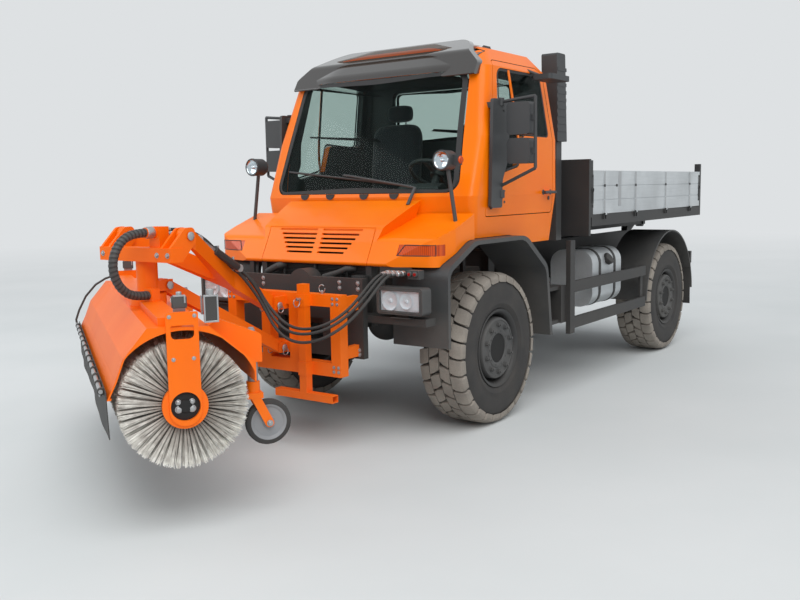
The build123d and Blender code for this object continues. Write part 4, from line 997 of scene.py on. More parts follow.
def bristle(shape, chance, start_angle, along, thick, splay):
    drift = chance.gauss(0, 0.02)
    reach = BRISTLE_R - abs(chance.gauss(0, 0.012))
    lean = chance.gauss(splay, 0.006)
    rows = (
        (CORE_R, start_angle, along, thick),
        (CORE_R + (reach - CORE_R) * 0.55, start_angle + drift * 0.35, along + lean * 0.35, thick * 0.95),
        (reach, start_angle + drift, along + lean, thick * 0.6),
    )
    rings = []
    for radius, angle, place, width in rows:
        ring = []
        for step in range(3):
            turn = step * math.tau / 3
            wide = angle + width * math.cos(turn) / radius
            ring.append((
                BRUSH_ACROSS + radius * math.sin(wide),
                place + width * math.sin(turn),
                BRUSH_Z - radius * math.cos(wide),
            ))
        rings.append(ring)
    shape.rings(rings, open_ends=True)


def grow_bristles(name, places, tufts, each, thick, seed, hides=()):
    # each ring has its tufts, each tuft its bristles close together and pointing much the same way
    chance = random.Random(seed)
    shape = Shape(on_broom)
    for along, splay in places:
        turn = chance.uniform(0, math.tau)
        for tuft in range(tufts):
            middle = turn + (tuft + chance.uniform(-0.2, 0.2)) * math.tau / tufts
            for _ in range(each):
                angle = middle + chance.gauss(0, 0.13) * math.tau / tufts
                bristle(shape, chance, angle, along + chance.uniform(-0.005, 0.005), thick, splay)
    return shape.piece(name, "brush", BRISTLE, 0.0, 60, hides)


near_rings = [(NEAR_END - 0.008 - 0.022 * row, 0.01 - 0.004 * row) for row in range(4)]
far_rings = [(FAR_END + 0.008 + 0.022 * row, 0.004 * row - 0.01) for row in range(3)]
middle_rings = [(NEAR_END - 0.1 - 0.042 * row, 0.0) for row in range(59)]
grow_bristles("bristles_near", near_rings, 58, 18, 0.002, 11, ["brush"])
grow_bristles("bristles_far", far_rings, 58, 9, 0.0024, 12)
grow_bristles("bristles_roll", middle_rings, 58, 4, 0.0044, 13)

core = Shape(on_broom)
core_middle = (BRUSH_ACROSS, FAR_END - 0.02, BRUSH_Z)
core_rows = [(0, 0.03), (0.021, 0.03), (0.022, CORE_R + 0.004)]
for row in range(65):
    low = 0.024 + row * 0.04
    core_rows += [(low, CORE_R + 0.004), (low + 0.004, CORE_R - 0.006), (low + 0.036, CORE_R - 0.006)]
core_rows += [(2.618, CORE_R + 0.004), (2.619, 0.03), (2.64, 0.03)]
core.turned(core_middle, LEFT, core_rows, 32)
core.piece("brush_core", "brush", CHASSIS_BLACK, 0.0, 40)

# %% [markdown]
# ## Windscreen edge and window seals
#
# A windscreen is glued in, and a black printed band hides the glue. Rubber seals run round
# the side windows. Both follow the edge of the glass, which is curved, so they are laid by
# dropping lines on the glass from outside: the outline is known in the front or side view,
# and the drop gives the depth.

# %% Bands that follow an edge on a curved pane
def edge_places(outline, step):
    places = []
    for index, (u0, v0) in enumerate(outline):
        u1, v1 = outline[(index + 1) % len(outline)]
        count = max(int(math.hypot(u1 - u0, v1 - v0) / step), 1)
        for part in range(count):
            places.append((u0 + (u1 - u0) * part / count, v0 + (v1 - v0) * part / count))
    return places


def rounded(outline, radius, steps=5):
    # an outline with each corner cut back and turned in a few steps
    soft = []
    count = len(outline)
    for index in range(count):
        corner = Vector(outline[index])
        before = (Vector(outline[index - 1]) - corner).normalized() * radius
        after = (Vector(outline[(index + 1) % count]) - corner).normalized() * radius
        for step in range(steps + 1):
            t = step / steps
            soft.append(tuple(corner + before * (1 - t) ** 2 + after * t ** 2))
    return soft


def middle_of(outline):
    count = len(outline)
    return Vector((sum(u for u, v in outline) / count, sum(v for u, v in outline) / count))


def shrunk(outline, inset):
    middle = middle_of(outline)
    return [tuple(Vector(point) + (middle - Vector(point)).normalized() * inset) for point in outline]


def band_on_pane(name, body, node_name, outline, width, inset, view, drop, reach):
    # a strip that lies on the pane between its outline and the same outline drawn in
    outer = edge_places(shrunk(outline, inset), 0.06)
    middle = middle_of(outer)
    shape = Shape()
    rings = []
    for u, v in outer:
        inward = (middle - Vector((u, v))).normalized() * width
        ring = []
        for share in (0.0, 0.5, 1.0):
            start = view(u + inward.x * share, v + inward.y * share, reach)
            place, normal = surface_at(node_name, start, drop)
            ring.append(place + normal * BAND_LIFT)
        rings.append(ring)
    rings.append(rings[0])
    for before, after in zip(rings, rings[1:]):
        for step in range(2):
            shape.add([before[step], before[step + 1], after[step + 1], after[step]], [(0, 1, 2, 3)])
    return shape.piece(name, body, SOFT_RUBBER)


SCREEN = rounded([(-0.88, 1.715), (0.88, 1.715), (0.8, 2.6), (-0.8, 2.6)], 0.08)
REAR_SCREEN = rounded([(-0.62, 2.16), (0.62, 2.16), (0.6, 2.6), (-0.6, 2.6)], 0.05)
SIDE_WINDOW = rounded([
    (-0.025, 1.83), (-0.39, 1.9), (-0.47, 2.135), (-0.905, 2.135), (-0.88, 2.63), (-0.19, 2.63),
], 0.045)
BAND_LIFT = 0.0012
band_on_pane("screen_band", "chassis", "cab_glass", SCREEN, 0.042, 0.008, front_view, BACKWARD, AHEAD)
band_on_pane("rear_band", "chassis", "cab_glass", REAR_SCREEN, 0.03, 0.008, front_view, FORWARD, -1.5)
for side, name in SIDES:
    band_on_pane(f"window_seal_{name}", f"door_{name}", f"door_glass_{name}", SIDE_WINDOW, 0.02,
                 0.006, side_view, (0, -side, 0), side * BESIDE)

# %% [markdown]
# ## Wiper, tabs, dividers and door fittings
#
# The wiper is an arm of bent rod that holds a rail and a rubber blade, all of them a few
# millimetres off the curved screen. Under the screen four small rubber tabs cover its
# fixings. A painted bar divides each side window, and each door has a handle on two pivots,
# a lock and two hinges. Each is placed by a line dropped on the panel that carries it.

# %% Wiper, tabs, dividers and door fittings
def on_screen(y, z, lift):
    place, normal = surface_at("cab_glass", (AHEAD, y, z), BACKWARD)
    return place + normal * lift


wiper = Shape()
WIPER_ARM = (
    (0.56, 1.745, 0.03), (0.5, 1.755, 0.045), (0.2, 1.8, 0.05), (-0.02, 1.835, 0.045), (-0.12, 1.85, 0.03),
)
arm = [on_screen(y, z, lift) for y, z, lift in WIPER_ARM]
wiper.rod(arm, 0.009, 8)
blade = [on_screen(0.5 - 1.24 * part / 12, 1.765 + 0.13 * part / 12, 0.016) for part in range(13)]
wiper.rod(blade, 0.008, 6)
rail = [on_screen(0.34 - 0.95 * part / 8, 1.782 + 0.1 * part / 8, 0.028) for part in range(9)]
wiper.rod(rail, 0.006, 6)
foot, _ = surface_at("bonnet", (0.47, 0.56, 2.2), DOWN)
wiper.rod([foot, arm[0]], 0.013, 10)
wiper.piece("wiper", "chassis", BLACK_PLASTIC, 0.001)

tabs = Shape()
for y in (-0.5, -0.24, 0.09, 0.37):
    rows = [[], []]
    for part in range(9):
        angle = math.pi * part / 8
        start = (AHEAD, y + 0.042 * math.cos(angle), 1.712 - 0.038 * math.sin(angle))
        place, normal = surface_at("cab_shell", start, BACKWARD)
        rows[0].append(place)
        rows[1].append(place + normal * 0.007)
    tabs.rings(rows)
tabs.piece("screen_tabs", "chassis", SOFT_RUBBER)

LOCK = [(0, 0.016), (0.004, 0.016), (0.006, 0.013), (0.007, 0.005)]
HANDLE_PIVOT = [(0, 0.022), (0.014, 0.02), (0.018, 0.012)]
HINGE = [(0, 0.009), (0.06, 0.009)]
HANDLE = ((-0.94, 1.034, 1.7), (-0.9, 1.043, 1.702), (-0.79, 1.043, 1.702), (-0.75, 1.034, 1.7))
for side, name in SIDES:
    divider = Shape()
    rows = []
    for part in range(9):
        z = 1.9 + 0.72 * part / 8
        x = -0.395 + 0.03 * part / 8
        ring = []
        for offset, lift in ((-0.014, 0.0), (-0.011, 0.007), (0.011, 0.007), (0.014, 0.0)):
            place, normal = from_side(f"door_glass_{name}", x + offset, z, side)
            ring.append(place + normal * lift)
        rows.append(ring)
    divider.rings(rows)
    divider.piece(f"window_divider_{name}", f"door_{name}", CAB_ORANGE)
    lock = Shape()
    out = (0, side, 0)
    place, _ = from_side(f"door_{name}", -0.885, 1.655, side)
    lock.turned(place, out, LOCK, 20)
    for x in (-0.79, -0.915):
        place, _ = from_side(f"door_{name}", x, 1.7025, side)
        lock.turned(place - Vector((0, side * 0.01, 0)), out, HANDLE_PIVOT, 16)
    for z in (1.62, 2.0):
        place, _ = from_side(f"door_{name}", 0.04, z, side)
        lock.turned(place + Vector((0.0, side * 0.004, -0.03)), UP, HINGE, 12)
    lock.rod([(x, side * y, z) for x, y, z in HANDLE], 0.0125, 12)
    lock.piece(f"door_fittings_{name}", f"door_{name}", BLACK_PLASTIC, 0.0008)

# %% [markdown]
# ## Lamps
#
# Behind a clear cover each head lamp has a bright bowl round its bulb and a smaller one
# beside it. The round work lamps by the windscreen are one deep bowl. A bowl is a turned
# curve, and the cover a thin block with bevelled edges, in the clear glass made above.

# %% Head lamps and work lamps
BOWL = [(0.0, 0.004), (0.0008, 0.02), (0.003, 0.04), (0.0065, 0.054), (0.0105, 0.062), (0.0115, 0.066)]
BEZEL = (
    (0.684, 1.026, 1.082, 1.094), (0.684, 1.026, 0.936, 0.948),
    (0.684, 0.695, 0.948, 1.082), (1.015, 1.026, 0.948, 1.082),
)
HEAD_LAMP_Z = 1.015
WORK_LAMP_Y, WORK_LAMP_Z = 0.9, 1.94
WORK_BOWL = [(0.0, 0.01), (0.001, 0.02), (0.004, 0.04), (0.009, 0.053), (0.015, 0.06), (0.02, 0.062)]
WORK_BULB = [(0, 0.012), (0.01, 0.012), (0.014, 0.006)]
WORK_RING = [
    (0.0, 0.068), (0.004, 0.0705), (0.018, 0.07), (0.0225, 0.066), (0.022, 0.061), (0.016, 0.06),
]
WORK_BACK = [(0, 0.066), (0.02, 0.058), (0.032, 0.036), (0.036, 0.012)]
WORK_LENS = [(0.0, 0.061), (0.005, 0.056), (0.009, 0.04), (0.0115, 0.02), (0.012, 0.006)]
FLASHER = [(0, 0.027), (0.01, 0.026), (0.017, 0.018), (0.019, 0.006)]


def bowl(shape, start, along, size):
    rows = [(distance * size, radius * size) for distance, radius in BOWL]
    shape.turned(start, along, rows, 32, open_ends=True)


for side, name in SIDES:
    bright = Shape()
    bowl(bright, (0.9905, side * 0.775, HEAD_LAMP_Z), FORWARD, 0.98)
    bowl(bright, (0.9905, side * 0.905, HEAD_LAMP_Z), FORWARD, 0.78)
    for y, rows in ((0.775, [(0, 0.014), (0.006, 0.014), (0.009, 0.008)]),
                    (0.905, [(0, 0.012), (0.006, 0.012), (0.008, 0.007)])):
        bright.turned((0.991, side * y, HEAD_LAMP_Z), FORWARD, rows, 16)
    for row in range(5):
        low = 0.956 + row * 0.0245
        bright.block(0.9902, 0.993, side * 0.965, side * 1.008, low, low + 0.018)
    bright.block(0.9895, 0.9902, side * 0.696, side * 1.014, 0.949, 1.081)
    bright.piece(f"lamp_bowls_{name}", "chassis", LAMP_SILVER, 0.0, 50)
    cover = Shape()
    cover.block(1.0015, 1.0045, side * 0.698, side * 1.012, 0.951, 1.079)
    cover.piece(f"lamp_cover_{name}", "chassis", LAMP_GLASS, 0.001)
    bezel = Shape()
    for y0, y1, z0, z1 in BEZEL:
        bezel.block(1.003, 1.009, side * y0, side * y1, z0, z1)
    bezel.block(0.93, 0.99, side * 0.77, side * 0.93, 0.899, 0.905)
    bezel.piece(f"lamp_bezel_{name}", "chassis", BLACK_PLASTIC, 0.0015)
    y = side * WORK_LAMP_Y
    round_lamp = Shape()
    round_lamp.turned((0.531, y, WORK_LAMP_Z), FORWARD, WORK_BOWL, 36, open_ends=True)
    round_lamp.turned((0.532, y, WORK_LAMP_Z), FORWARD, WORK_BULB, 16)
    round_lamp.piece(f"work_lamp_bowl_{name}", "chassis", MIRROR_SILVER, 0.0, 60)
    ring = Shape()
    ring.turned((0.53, y, WORK_LAMP_Z), FORWARD, WORK_RING, 40, open_ends=True)
    ring.turned((0.44, y, WORK_LAMP_Z), BACKWARD, WORK_BACK, 32)
    ring.piece(f"work_lamp_ring_{name}", "chassis", BLACK_PLASTIC, 0.0006)
    lens = Shape()
    lens.turned((0.5455, y, WORK_LAMP_Z), FORWARD, WORK_LENS, 36)
    lens.piece(f"work_lamp_glass_{name}", "chassis", LAMP_GLASS, 0.0, 60)
    amber = Shape()
    amber.turned((0.475, side * 1.008, WORK_LAMP_Z), (0, side, 0), FLASHER, 24)
    amber.piece(f"side_flasher_{name}", "chassis", AMBER_LENS, 0.0, 60)

# %% [markdown]
# ## Mirrors
#
# The two heads on each door hold a large flat glass above and a small curved one below. The
# glass faces backwards, so it shows only from behind, and a thin rim keeps it in its shell.

# %% Mirror glasses
MIRROR_IN, MIRROR_OUT = 1.11, 1.265
MIRROR_Y = 1.1875
MIRROR_CORNER = 0.022
MIRROR_GAP = 0.015
# lower edge, upper edge and bulge of the large flat glass and of the small curved one
MIRROR_HEADS = ((2.12, 2.35, 0.0), (1.915, 2.095, 0.006))
MIRROR_JOINT = [(0, 0.02), (0.004, 0.023), (0.056, 0.023), (0.06, 0.02)]


def scaled(outline, middle_y, middle_z, wide, tall):
    return [(middle_y + (y - middle_y) * wide, middle_z + (z - middle_z) * tall) for y, z in outline]


for side, name in SIDES:
    glass = Shape()
    rim = Shape()
    for low, high, bulge in MIRROR_HEADS:
        foot, top = low + MIRROR_GAP, high - MIRROR_GAP
        outline = rounded(
            [(MIRROR_IN, foot), (MIRROR_OUT, foot), (MIRROR_OUT, top), (MIRROR_IN, top)], MIRROR_CORNER)
        outline = [(side * y, z) for y, z in outline]
        inner = scaled(outline, side * MIRROR_Y, (low + high) / 2, 0.5, 0.5)
        glass.rings([at_x(-0.1205, outline), at_x(-0.1225 - bulge * 0.6, inner)])
        outer = scaled(outline, side * MIRROR_Y, (low + high) / 2, 1.06, 1.05)
        rim.rings([at_x(-0.119, outer), at_x(-0.126, outer), at_x(-0.126, outline), at_x(-0.12, outline)],
                  open_ends=True)
    glass.piece(f"mirror_glass_{name}", f"door_{name}", MIRROR_SILVER, 0.0, 20)
    for z in (1.7, 2.36):
        rim.turned((-0.06, side * 1.03, z - 0.03), UP, MIRROR_JOINT, 16)
    for z in (1.64, 1.72, 2.3, 2.345):
        rim.bolt((-0.09, side * 1.035, z), (0, side, 0), 0.007)
    rim.piece(f"mirror_rim_{name}", f"door_{name}", BLACK_PLASTIC, 0.0008)

# %% [markdown]
# ## Under the bonnet's lip
#
# Behind the implement plate stands the radiator, a block of thin fins between two tanks,
# and it closes the view into the engine bay. Beside the head lamp sits a socket for the
# broom's electric plug. A row of fins is the same thin block set down many times.

# %% Radiator and socket
CORE_HALF = 0.47
CORE_LOW, CORE_HIGH = 0.8, 1.235
FINS = 40
radiator = Shape()
radiator.block(0.8, 0.86, -0.52, -CORE_HALF, CORE_LOW, CORE_HIGH)
radiator.block(0.8, 0.86, CORE_HALF, 0.52, CORE_LOW, CORE_HIGH)
radiator.block(0.815, 0.83, -CORE_HALF, CORE_HALF, CORE_LOW, CORE_HIGH)
for number in range(FINS):
    z = 0.81 + number * 0.0106
    radiator.block(0.83, 0.852, -CORE_HALF, CORE_HALF, z, z + 0.0024)
for y in (-0.3, 0.0, 0.3):
    radiator.block(0.83, 0.856, y - 0.008, y + 0.008, CORE_LOW, CORE_HIGH)
radiator.rod([(0.84, 0.36, 1.2), (0.9, 0.33, 1.2), (0.92, 0.26, 1.17), (0.92, 0.14, 1.14)], 0.022, 12)
radiator.rod([(0.84, -0.3, 1.21), (0.9, -0.32, 1.2), (0.92, -0.4, 1.16), (0.9, -0.44, 1.1)], 0.026, 12)
radiator.block(0.87, 0.93, 0.4, 0.5, 1.06, 1.16)
radiator.block(0.87, 0.95, 0.2, 0.25, 1.1, 1.15)
radiator.piece("radiator", "chassis", CHASSIS_BLACK, 0.001)

socket = Shape()
socket.block(0.868, 0.93, 0.872, 0.965, 1.155, 1.215)
for y in (0.895, 0.94):
    socket.turned((0.93, y, 1.19), FORWARD, [(0, 0.019), (0.012, 0.019), (0.016, 0.016)], 20)
socket.piece("broom_socket", "chassis", BLACK_PLASTIC, 0.002)
marks = Shape()
for y in (0.895, 0.94):
    marks.turned((0.946, y, 1.19), FORWARD, [(0, 0.011), (0.002, 0.011), (0.003, 0.008)], 16)
marks.piece("socket_marks", "chassis", RED_LENS, 0.0)

# %% [markdown]
# ## The broom's ends, lamps and pipe
#
# Each end of the brush shaft sits in a dark hub with pale bolts. Two small lamps stand on
# top by the arm, so that the corner of the broom is seen at night. A spray pipe runs along
# the front lip in clamps and lays the dust with water. Both ends are the same forms
# mirrored, so one loop sets them down with the way out as its number.

# %% Hub, lamps and spray pipe
HUB = [(0, 0.0735), (0.002, 0.0735), (0.004, 0.06), (0.0045, 0.034), (0.012, 0.031), (0.013, 0.02)]
for end, out in ((0.955, 1), (-1.715, -1)):
    name = "near" if out > 0 else "far"
    hub = Shape(on_broom)
    hub.turned((BRUSH_ACROSS, end - out * 0.0115, BRUSH_Z), (0, out, 0), HUB, 36)
    hub.piece(f"brush_hub_{name}", "broom", BLACK_AND_PAINTED_SHADE, 0.0)
    heads = Shape(on_broom)
    for across in (-0.034, 0.034):
        for z, size in ((BRUSH_Z - 0.016, 0.0145), (BRUSH_Z + 0.021, 0.0115)):
            start = (BRUSH_ACROSS + across, end - out * 0.0095, z)
            rows = [(0, size * 1.35), (0.003, size * 1.3), (0.004, size)]
            rows += [(0.0115, size * 0.92), (0.0135, size * 0.6)]
            heads.turned(start, (0, out, 0), rows, 20)
    for across, z in ((-0.05, 0.93), (0.05, 0.93), (-0.062, 1.145), (0.062, 1.145)):
        heads.bolt((BRUSH_ACROSS + across, end + out * 0.01, z), (0, out, 0), 0.007)
    heads.piece(f"brush_hub_bolts_{name}", "broom", ZINC, 0.0006)

LAMP_GLAND = [(0, 0.01), (0.004, 0.014), (0.02, 0.014)]
LAMP_STALK = [(0, 0.02), (0.03, 0.02), (0.035, 0.012)]
LENS_FRAME = [(-0.237, 1.101), (-0.163, 1.101), (-0.163, 1.241), (-0.237, 1.241)]
LENS_EDGE = [(-0.229, 1.11), (-0.171, 1.11), (-0.171, 1.232), (-0.229, 1.232)]
broom_lamps = Shape(on_broom)
lamp_brackets = Shape(on_broom)
broom_lenses = Shape(on_broom)
for end, out in ((0.93, 1), (-1.69, -1)):
    lamp_brackets.block(-0.08, -0.018, end - 0.04, end - 0.034, 1.16, 1.2)
    lamp_brackets.block(-0.078, -0.02, end - 0.04, end - 0.006, 1.238, 1.245)
    lamp_brackets.block(-0.078, -0.07, end - 0.006, end - 0.002, 1.205, 1.245)
    lamp_brackets.block(-0.165, -0.157, end - 0.05, end - 0.02, 1.14, 1.235)
    broom_lamps.block(-0.085, -0.013, end - 0.06, end - 0.008, 1.18, 1.238)
    lamp_brackets.turned((-0.05, end - 0.034, 1.262), DOWN, LAMP_GLAND, 14)
    broom_lamps.block(-0.232, -0.168, end - 0.03, end + 0.01, 1.106, 1.236)
    face = end + out * 0.011
    proud = face + out * 0.005
    outer = [at_y(face, LENS_FRAME), at_y(proud, LENS_FRAME)]
    inner = [at_y(proud, LENS_EDGE), at_y(face, LENS_EDGE)]
    lamp_brackets.rings(outer + inner, open_ends=True)
    lamp_brackets.turned((-0.2, end - 0.01, 1.236), UP, LAMP_STALK, 16)
    broom_lenses.block(-0.229, -0.171, face - out * 0.001, face + out * 0.002, 1.11, 1.232)
    broom_lenses.block(-0.0125, -0.009, end - 0.055, end - 0.013, 1.186, 1.232)
lamp_brackets.piece("broom_lamp_brackets", "broom", ZINC, 0.0008)
broom_lamps.piece("broom_lamps", "broom", BLACK_PLASTIC, 0.003)
broom_lenses.piece("broom_lamp_lenses", "broom", VISOR_PLASTIC, 0.0008)

PIPE_A, PIPE_Z = 0.348, 0.79
NOZZLE = [(0, 0.009), (0.02, 0.007), (0.024, 0.004)]
pipe = Shape(on_broom)
pipe.rod([(PIPE_A, b, PIPE_Z) for b in (0.9, 0.3, -1.0, -1.65)], 0.011, 12)
for number in range(9):
    b = 0.85 - number * 0.3
    pipe.turned((PIPE_A, b, 0.779), DOWN, NOZZLE, 8)
pipe.piece("spray_pipe", "broom", ZINC, 0.0)
clamps = Shape(on_broom)
for number in range(13):
    b = 0.88 - number * 0.2
    clamps.turned((PIPE_A, b - 0.014, PIPE_Z), LEFT, [(0, 0.0155), (0.028, 0.0155)], 14)
    clamps.block(0.331, 0.35, b - 0.012, b + 0.012, 0.772, 0.808)
clamps.rod([
    (PIPE_A, -1.64, PIPE_Z), (0.352, -1.65, 0.82), (0.326, -1.66, 0.89), (0.274, -1.66, 0.99),
    (0.2, -1.65, 1.075), (0.13, -1.62, 1.12), (0.06, -1.55, 1.15),
], 0.008, 10)
clamps.piece("pipe_clamps", "broom", SOFT_RUBBER, 0.0008)

# %% [markdown]
# ## Casters
#
# Two casters carry the broom when it is set down. Each has a bright spindle in its post and
# a grey wheel with a dark band of rubber, and the axle shows the heads of its bolt. Wheel
# and band are turned forms like the truck's own, only smaller and with fewer steps.

# %% Casters
CASTER_A, CASTER_Z = -0.515, 0.51
SPINDLE_A = -0.44
CASTER_BAND = [
    (0.002, 0.096), (0.0, 0.1), (0.001, 0.11), (0.005, 0.12), (0.012, 0.1248),
    (0.035, 0.1248), (0.042, 0.12), (0.046, 0.11), (0.047, 0.1), (0.045, 0.096),
]
CASTER_WHEEL = [
    (0.004, 0.0102), (0.0, 0.02), (0.0, 0.032), (0.006, 0.036), (0.009, 0.08), (0.003, 0.088),
    (0.001, 0.098), (0.046, 0.098), (0.044, 0.088), (0.038, 0.08), (0.041, 0.036),
    (0.047, 0.032), (0.047, 0.02), (0.043, 0.0102),
]
SPINDLE = [(0, 0.027), (0.004, 0.0285), (0.104, 0.0285), (0.108, 0.026)]
SPINDLE_NUT = [(0, 0.02), (0.006, 0.02), (0.012, 0.016), (0.02, 0.015)]
for name, b in (("near", 0.75), ("far", -1.51)):
    tread = Shape(on_broom)
    start = (CASTER_A, b - 0.0235, CASTER_Z)
    tread.turned(start, LEFT, CASTER_BAND, 64, open_ends=True)
    wheel = f"caster_wheel_{name}"
    tread.piece(f"caster_tread_{name}", wheel, TYRE_RUBBER, 0.0, 30, [wheel])
    disc = Shape(on_broom)
    disc.turned(start, LEFT, CASTER_WHEEL, 48, open_ends=True)
    disc.piece(f"caster_disc_{name}", wheel, CASTER_DISC, 0.0, 30)
    bolts = Shape(on_broom)
    for out in (-1, 1):
        bolts.bolt((CASTER_A, b + out * 0.048, CASTER_Z), (0, out, 0), 0.012)
    bolts.piece(f"caster_bolts_{name}", f"caster_{name}", ZINC, 0.0006)
    spindle = Shape(on_broom)
    spindle.turned((SPINDLE_A, b, 0.741), UP, SPINDLE, 28)
    spindle.turned((SPINDLE_A, b, 1.012), UP, SPINDLE_NUT, 20)
    spindle.piece(f"caster_spindle_{name}", "broom", CASTER_DISC, 0.0008)

# %% [markdown]
# ## Pins, clips and the lifting frame
#
# The linkage turns on steel pins, each kept by a ring clip. The stand is held by two more.
# A clip is a bent wire, which a rod through a few points gives. Heads of bolts show on
# every plate that is screwed and not welded.

# %% Pins and clips
def ring_clip(shape, x, y, z, size, facing=FORWARD):
    axis = Vector(facing).normalized()
    across = axis.orthogonal().normalized()
    third = axis.cross(across)
    middle = Vector((x, y, z))
    points = []
    for step in range(19):
        angle = step * math.tau / 20
        points.append(middle + (across * math.cos(angle) + third * math.sin(angle)) * size)
    shape.rod(points, 0.0035, 6)


UPRIGHT_PIN = [(0, 0.011), (0.02, 0.011), (0.024, 0.007)]
FRAME_PIN = [(0, 0.024), (0.005, 0.024), (0.008, 0.02), (0.012, 0.012)]
HEAD_PIN = [(0, 0.025), (0.005, 0.025), (0.008, 0.02), (0.011, 0.01)]
LOWER_PIN = [(0, 0.025), (0.005, 0.025), (0.009, 0.016)]
SWIVEL_CAP = [(0, 0.05), (0.008, 0.05), (0.012, 0.04), (0.03, 0.036), (0.033, 0.025)]
frame_pins = Shape()
for y in (0.2, 0.36):
    frame_pins.turned((1.2, y, 1.06), UP, UPRIGHT_PIN, 12)
    ring_clip(frame_pins, 1.2, y, 1.095, 0.026)
frame_pins.rod([(1.306, 0.26, 1.03), (1.345, 0.26, 1.03)], 0.01, 10)
ring_clip(frame_pins, 1.345, 0.26, 1.01, 0.03, LEFT)
for x, z, half in ((1.264, 0.678, 0.062), (1.314, 0.977, 0.077)):
    for side in (-1, 1):
        frame_pins.turned((x, side * half, z), (0, side, 0), FRAME_PIN, 20)
        ring_clip(frame_pins, x, side * (half + 0.01), z - 0.026, 0.024, LEFT)
for y in (-0.46, 0.5):
    for z in (0.545, 0.575, 1.0, 1.035):
        frame_pins.bolt((1.24, y - 0.02, z), FORWARD, 0.008)
        frame_pins.bolt((1.24, y + 0.02, z), FORWARD, 0.008)
for y in (-0.52, -0.36, 0.36, 0.52):
    for z in (0.63, 0.66, 1.08, 1.12):
        frame_pins.bolt((1.015, y, z), FORWARD, 0.011)
frame_pins.piece("frame_pins", "chassis", ZINC, 0.0005)

head_pins = Shape()
for side in (-1, 1):
    for out in (-1, 1):
        y = side * 0.27 + out * 0.05
        head_pins.turned((2.285, y, 1.504), (0, out, 0), HEAD_PIN, 20)
    head_pins.bolt((2.435, side * 0.29, 1.4), FORWARD, 0.011)
    head_pins.bolt((2.435, side * 0.2, 1.4), FORWARD, 0.011)
for side in (-1, 1):
    head_pins.turned((2.235, side * 0.062, 1.205), (0, side, 0), LOWER_PIN, 20)
head_pins.turned((SWIVEL_X, 0, 1.4), UP, SWIVEL_CAP, 28)
head_pins.piece("headstock_pins", "headstock", ZINC, 0.0008)

arm_fittings = Shape()
arm_fittings.turned((1.665, -0.02, 1.235), LEFT, [(0, 0.016), (0.04, 0.016), (0.043, 0.012)], 16)
ring_clip(arm_fittings, 1.665, 0.03, 1.215, 0.02, LEFT)
for along in (0.42, 0.62, 0.78):
    x = 1.314 + 0.971 * along
    y = 0.06 + 0.12 * max(along - 0.4, 0)
    z = 0.977 + 0.527 * along + 0.055
    arm_fittings.turned((x, y, z), (-0.48, 0, 0.88), [(0, 0.01), (0.004, 0.01)], 10)
arm_fittings.piece("arm_fittings", "upper_arms", ZINC, 0.0005)

# %% [markdown]
# ## Behind the slots and over the screen
#
# Dark netting behind the slots keeps dust off the radiator: a row of thin rods before two
# near-black sheets, all of which follow the flap a little way behind it. The sheets are painted
# shade that stands for the dark engine bay seen through the slots. Above the screen a dark band
# hides the edge where the glass is glued, and the middle of the visor is smoked plastic.
# Both lie on the shell as paint would. A painted skin closes each front corner of the
# bonnet, and the lenses of the indicators have a thin rubber frame.

# %% Netting, header band, visor skin, corners and lens frames
def strip_on(shape, node_name, columns, rows, lift, start_of, direction):
    # a sheet of columns by rows that lies on a panel, lift metres off it
    first = len(shape.corners)
    for row in rows:
        for column in columns:
            place, normal = surface_at(node_name, start_of(column, row), direction)
            shape.corners.append(at(*(place + normal * lift)))
    count = len(columns)
    for row in range(len(rows) - 1):
        for step in range(count - 1):
            corner = first + row * count + step
            shape.faces.append([corner, corner + 1, corner + count + 1, corner + count])


flap_low, _ = surface_at("service_flap", (1.4, 0.46, 1.265), BACKWARD)
flap_high, _ = surface_at("service_flap", (1.4, 0.46, 1.475), BACKWARD)
flap_mid, _ = surface_at("service_flap", (1.4, 0.0, 1.375), BACKWARD)
FLAP_HALF = 0.46


def behind_flap(y, depth):
    # how far forward the netting stands at y, at its lower and at its upper edge
    bulge = (flap_mid.x - (flap_low.x + flap_high.x) / 2) * (1 - (y / FLAP_HALF) ** 2)
    return flap_low.x + bulge - depth, flap_high.x + bulge - depth


net = Shape()
for number in range(41):
    y = -0.44 + 0.022 * number
    low, high = behind_flap(y, 0.045)
    net.rod([(low, y, 1.27), (high, y, 1.47)], 0.0015, 4)
# two near-black sheets behind the rods: painted shade standing for the dark engine bay
for depth in (0.05, 0.054):
    rows = []
    for y in (-0.45, -0.3, -0.15, 0.0, 0.15, 0.3, 0.45):
        low, high = behind_flap(y, depth)
        rows.append([(low, y, 1.265), (high, y, 1.48), (high - 0.002, y, 1.48), (low - 0.002, y, 1.265)])
    net.rings(rows)
net.piece("grille_net_and_painted_shade", "chassis", BLACK_AND_PAINTED_SHADE, 0.0)

header = Shape()
columns = [-0.8 + 1.6 * step / 28 for step in range(29)]
rows = [2.58 + 0.02 * step for step in range(11)]
strip_on(header, "cab_shell", columns, rows, 0.004, lambda y, z: (AHEAD, y, z), BACKWARD)
header.piece("screen_header", "chassis", VISOR_PLASTIC, 0.0)
smoke = Shape()
columns = [-0.74 + 1.48 * step / 24 for step in range(25)]
rows = [-0.345 + 0.02 * step for step in range(16)]
strip_on(smoke, "cab_shell", columns, rows, 0.009, lambda y, x: (x, y, ABOVE), DOWN)
smoke.piece("visor_skin", "chassis", VISOR_SMOKE, 0.0)

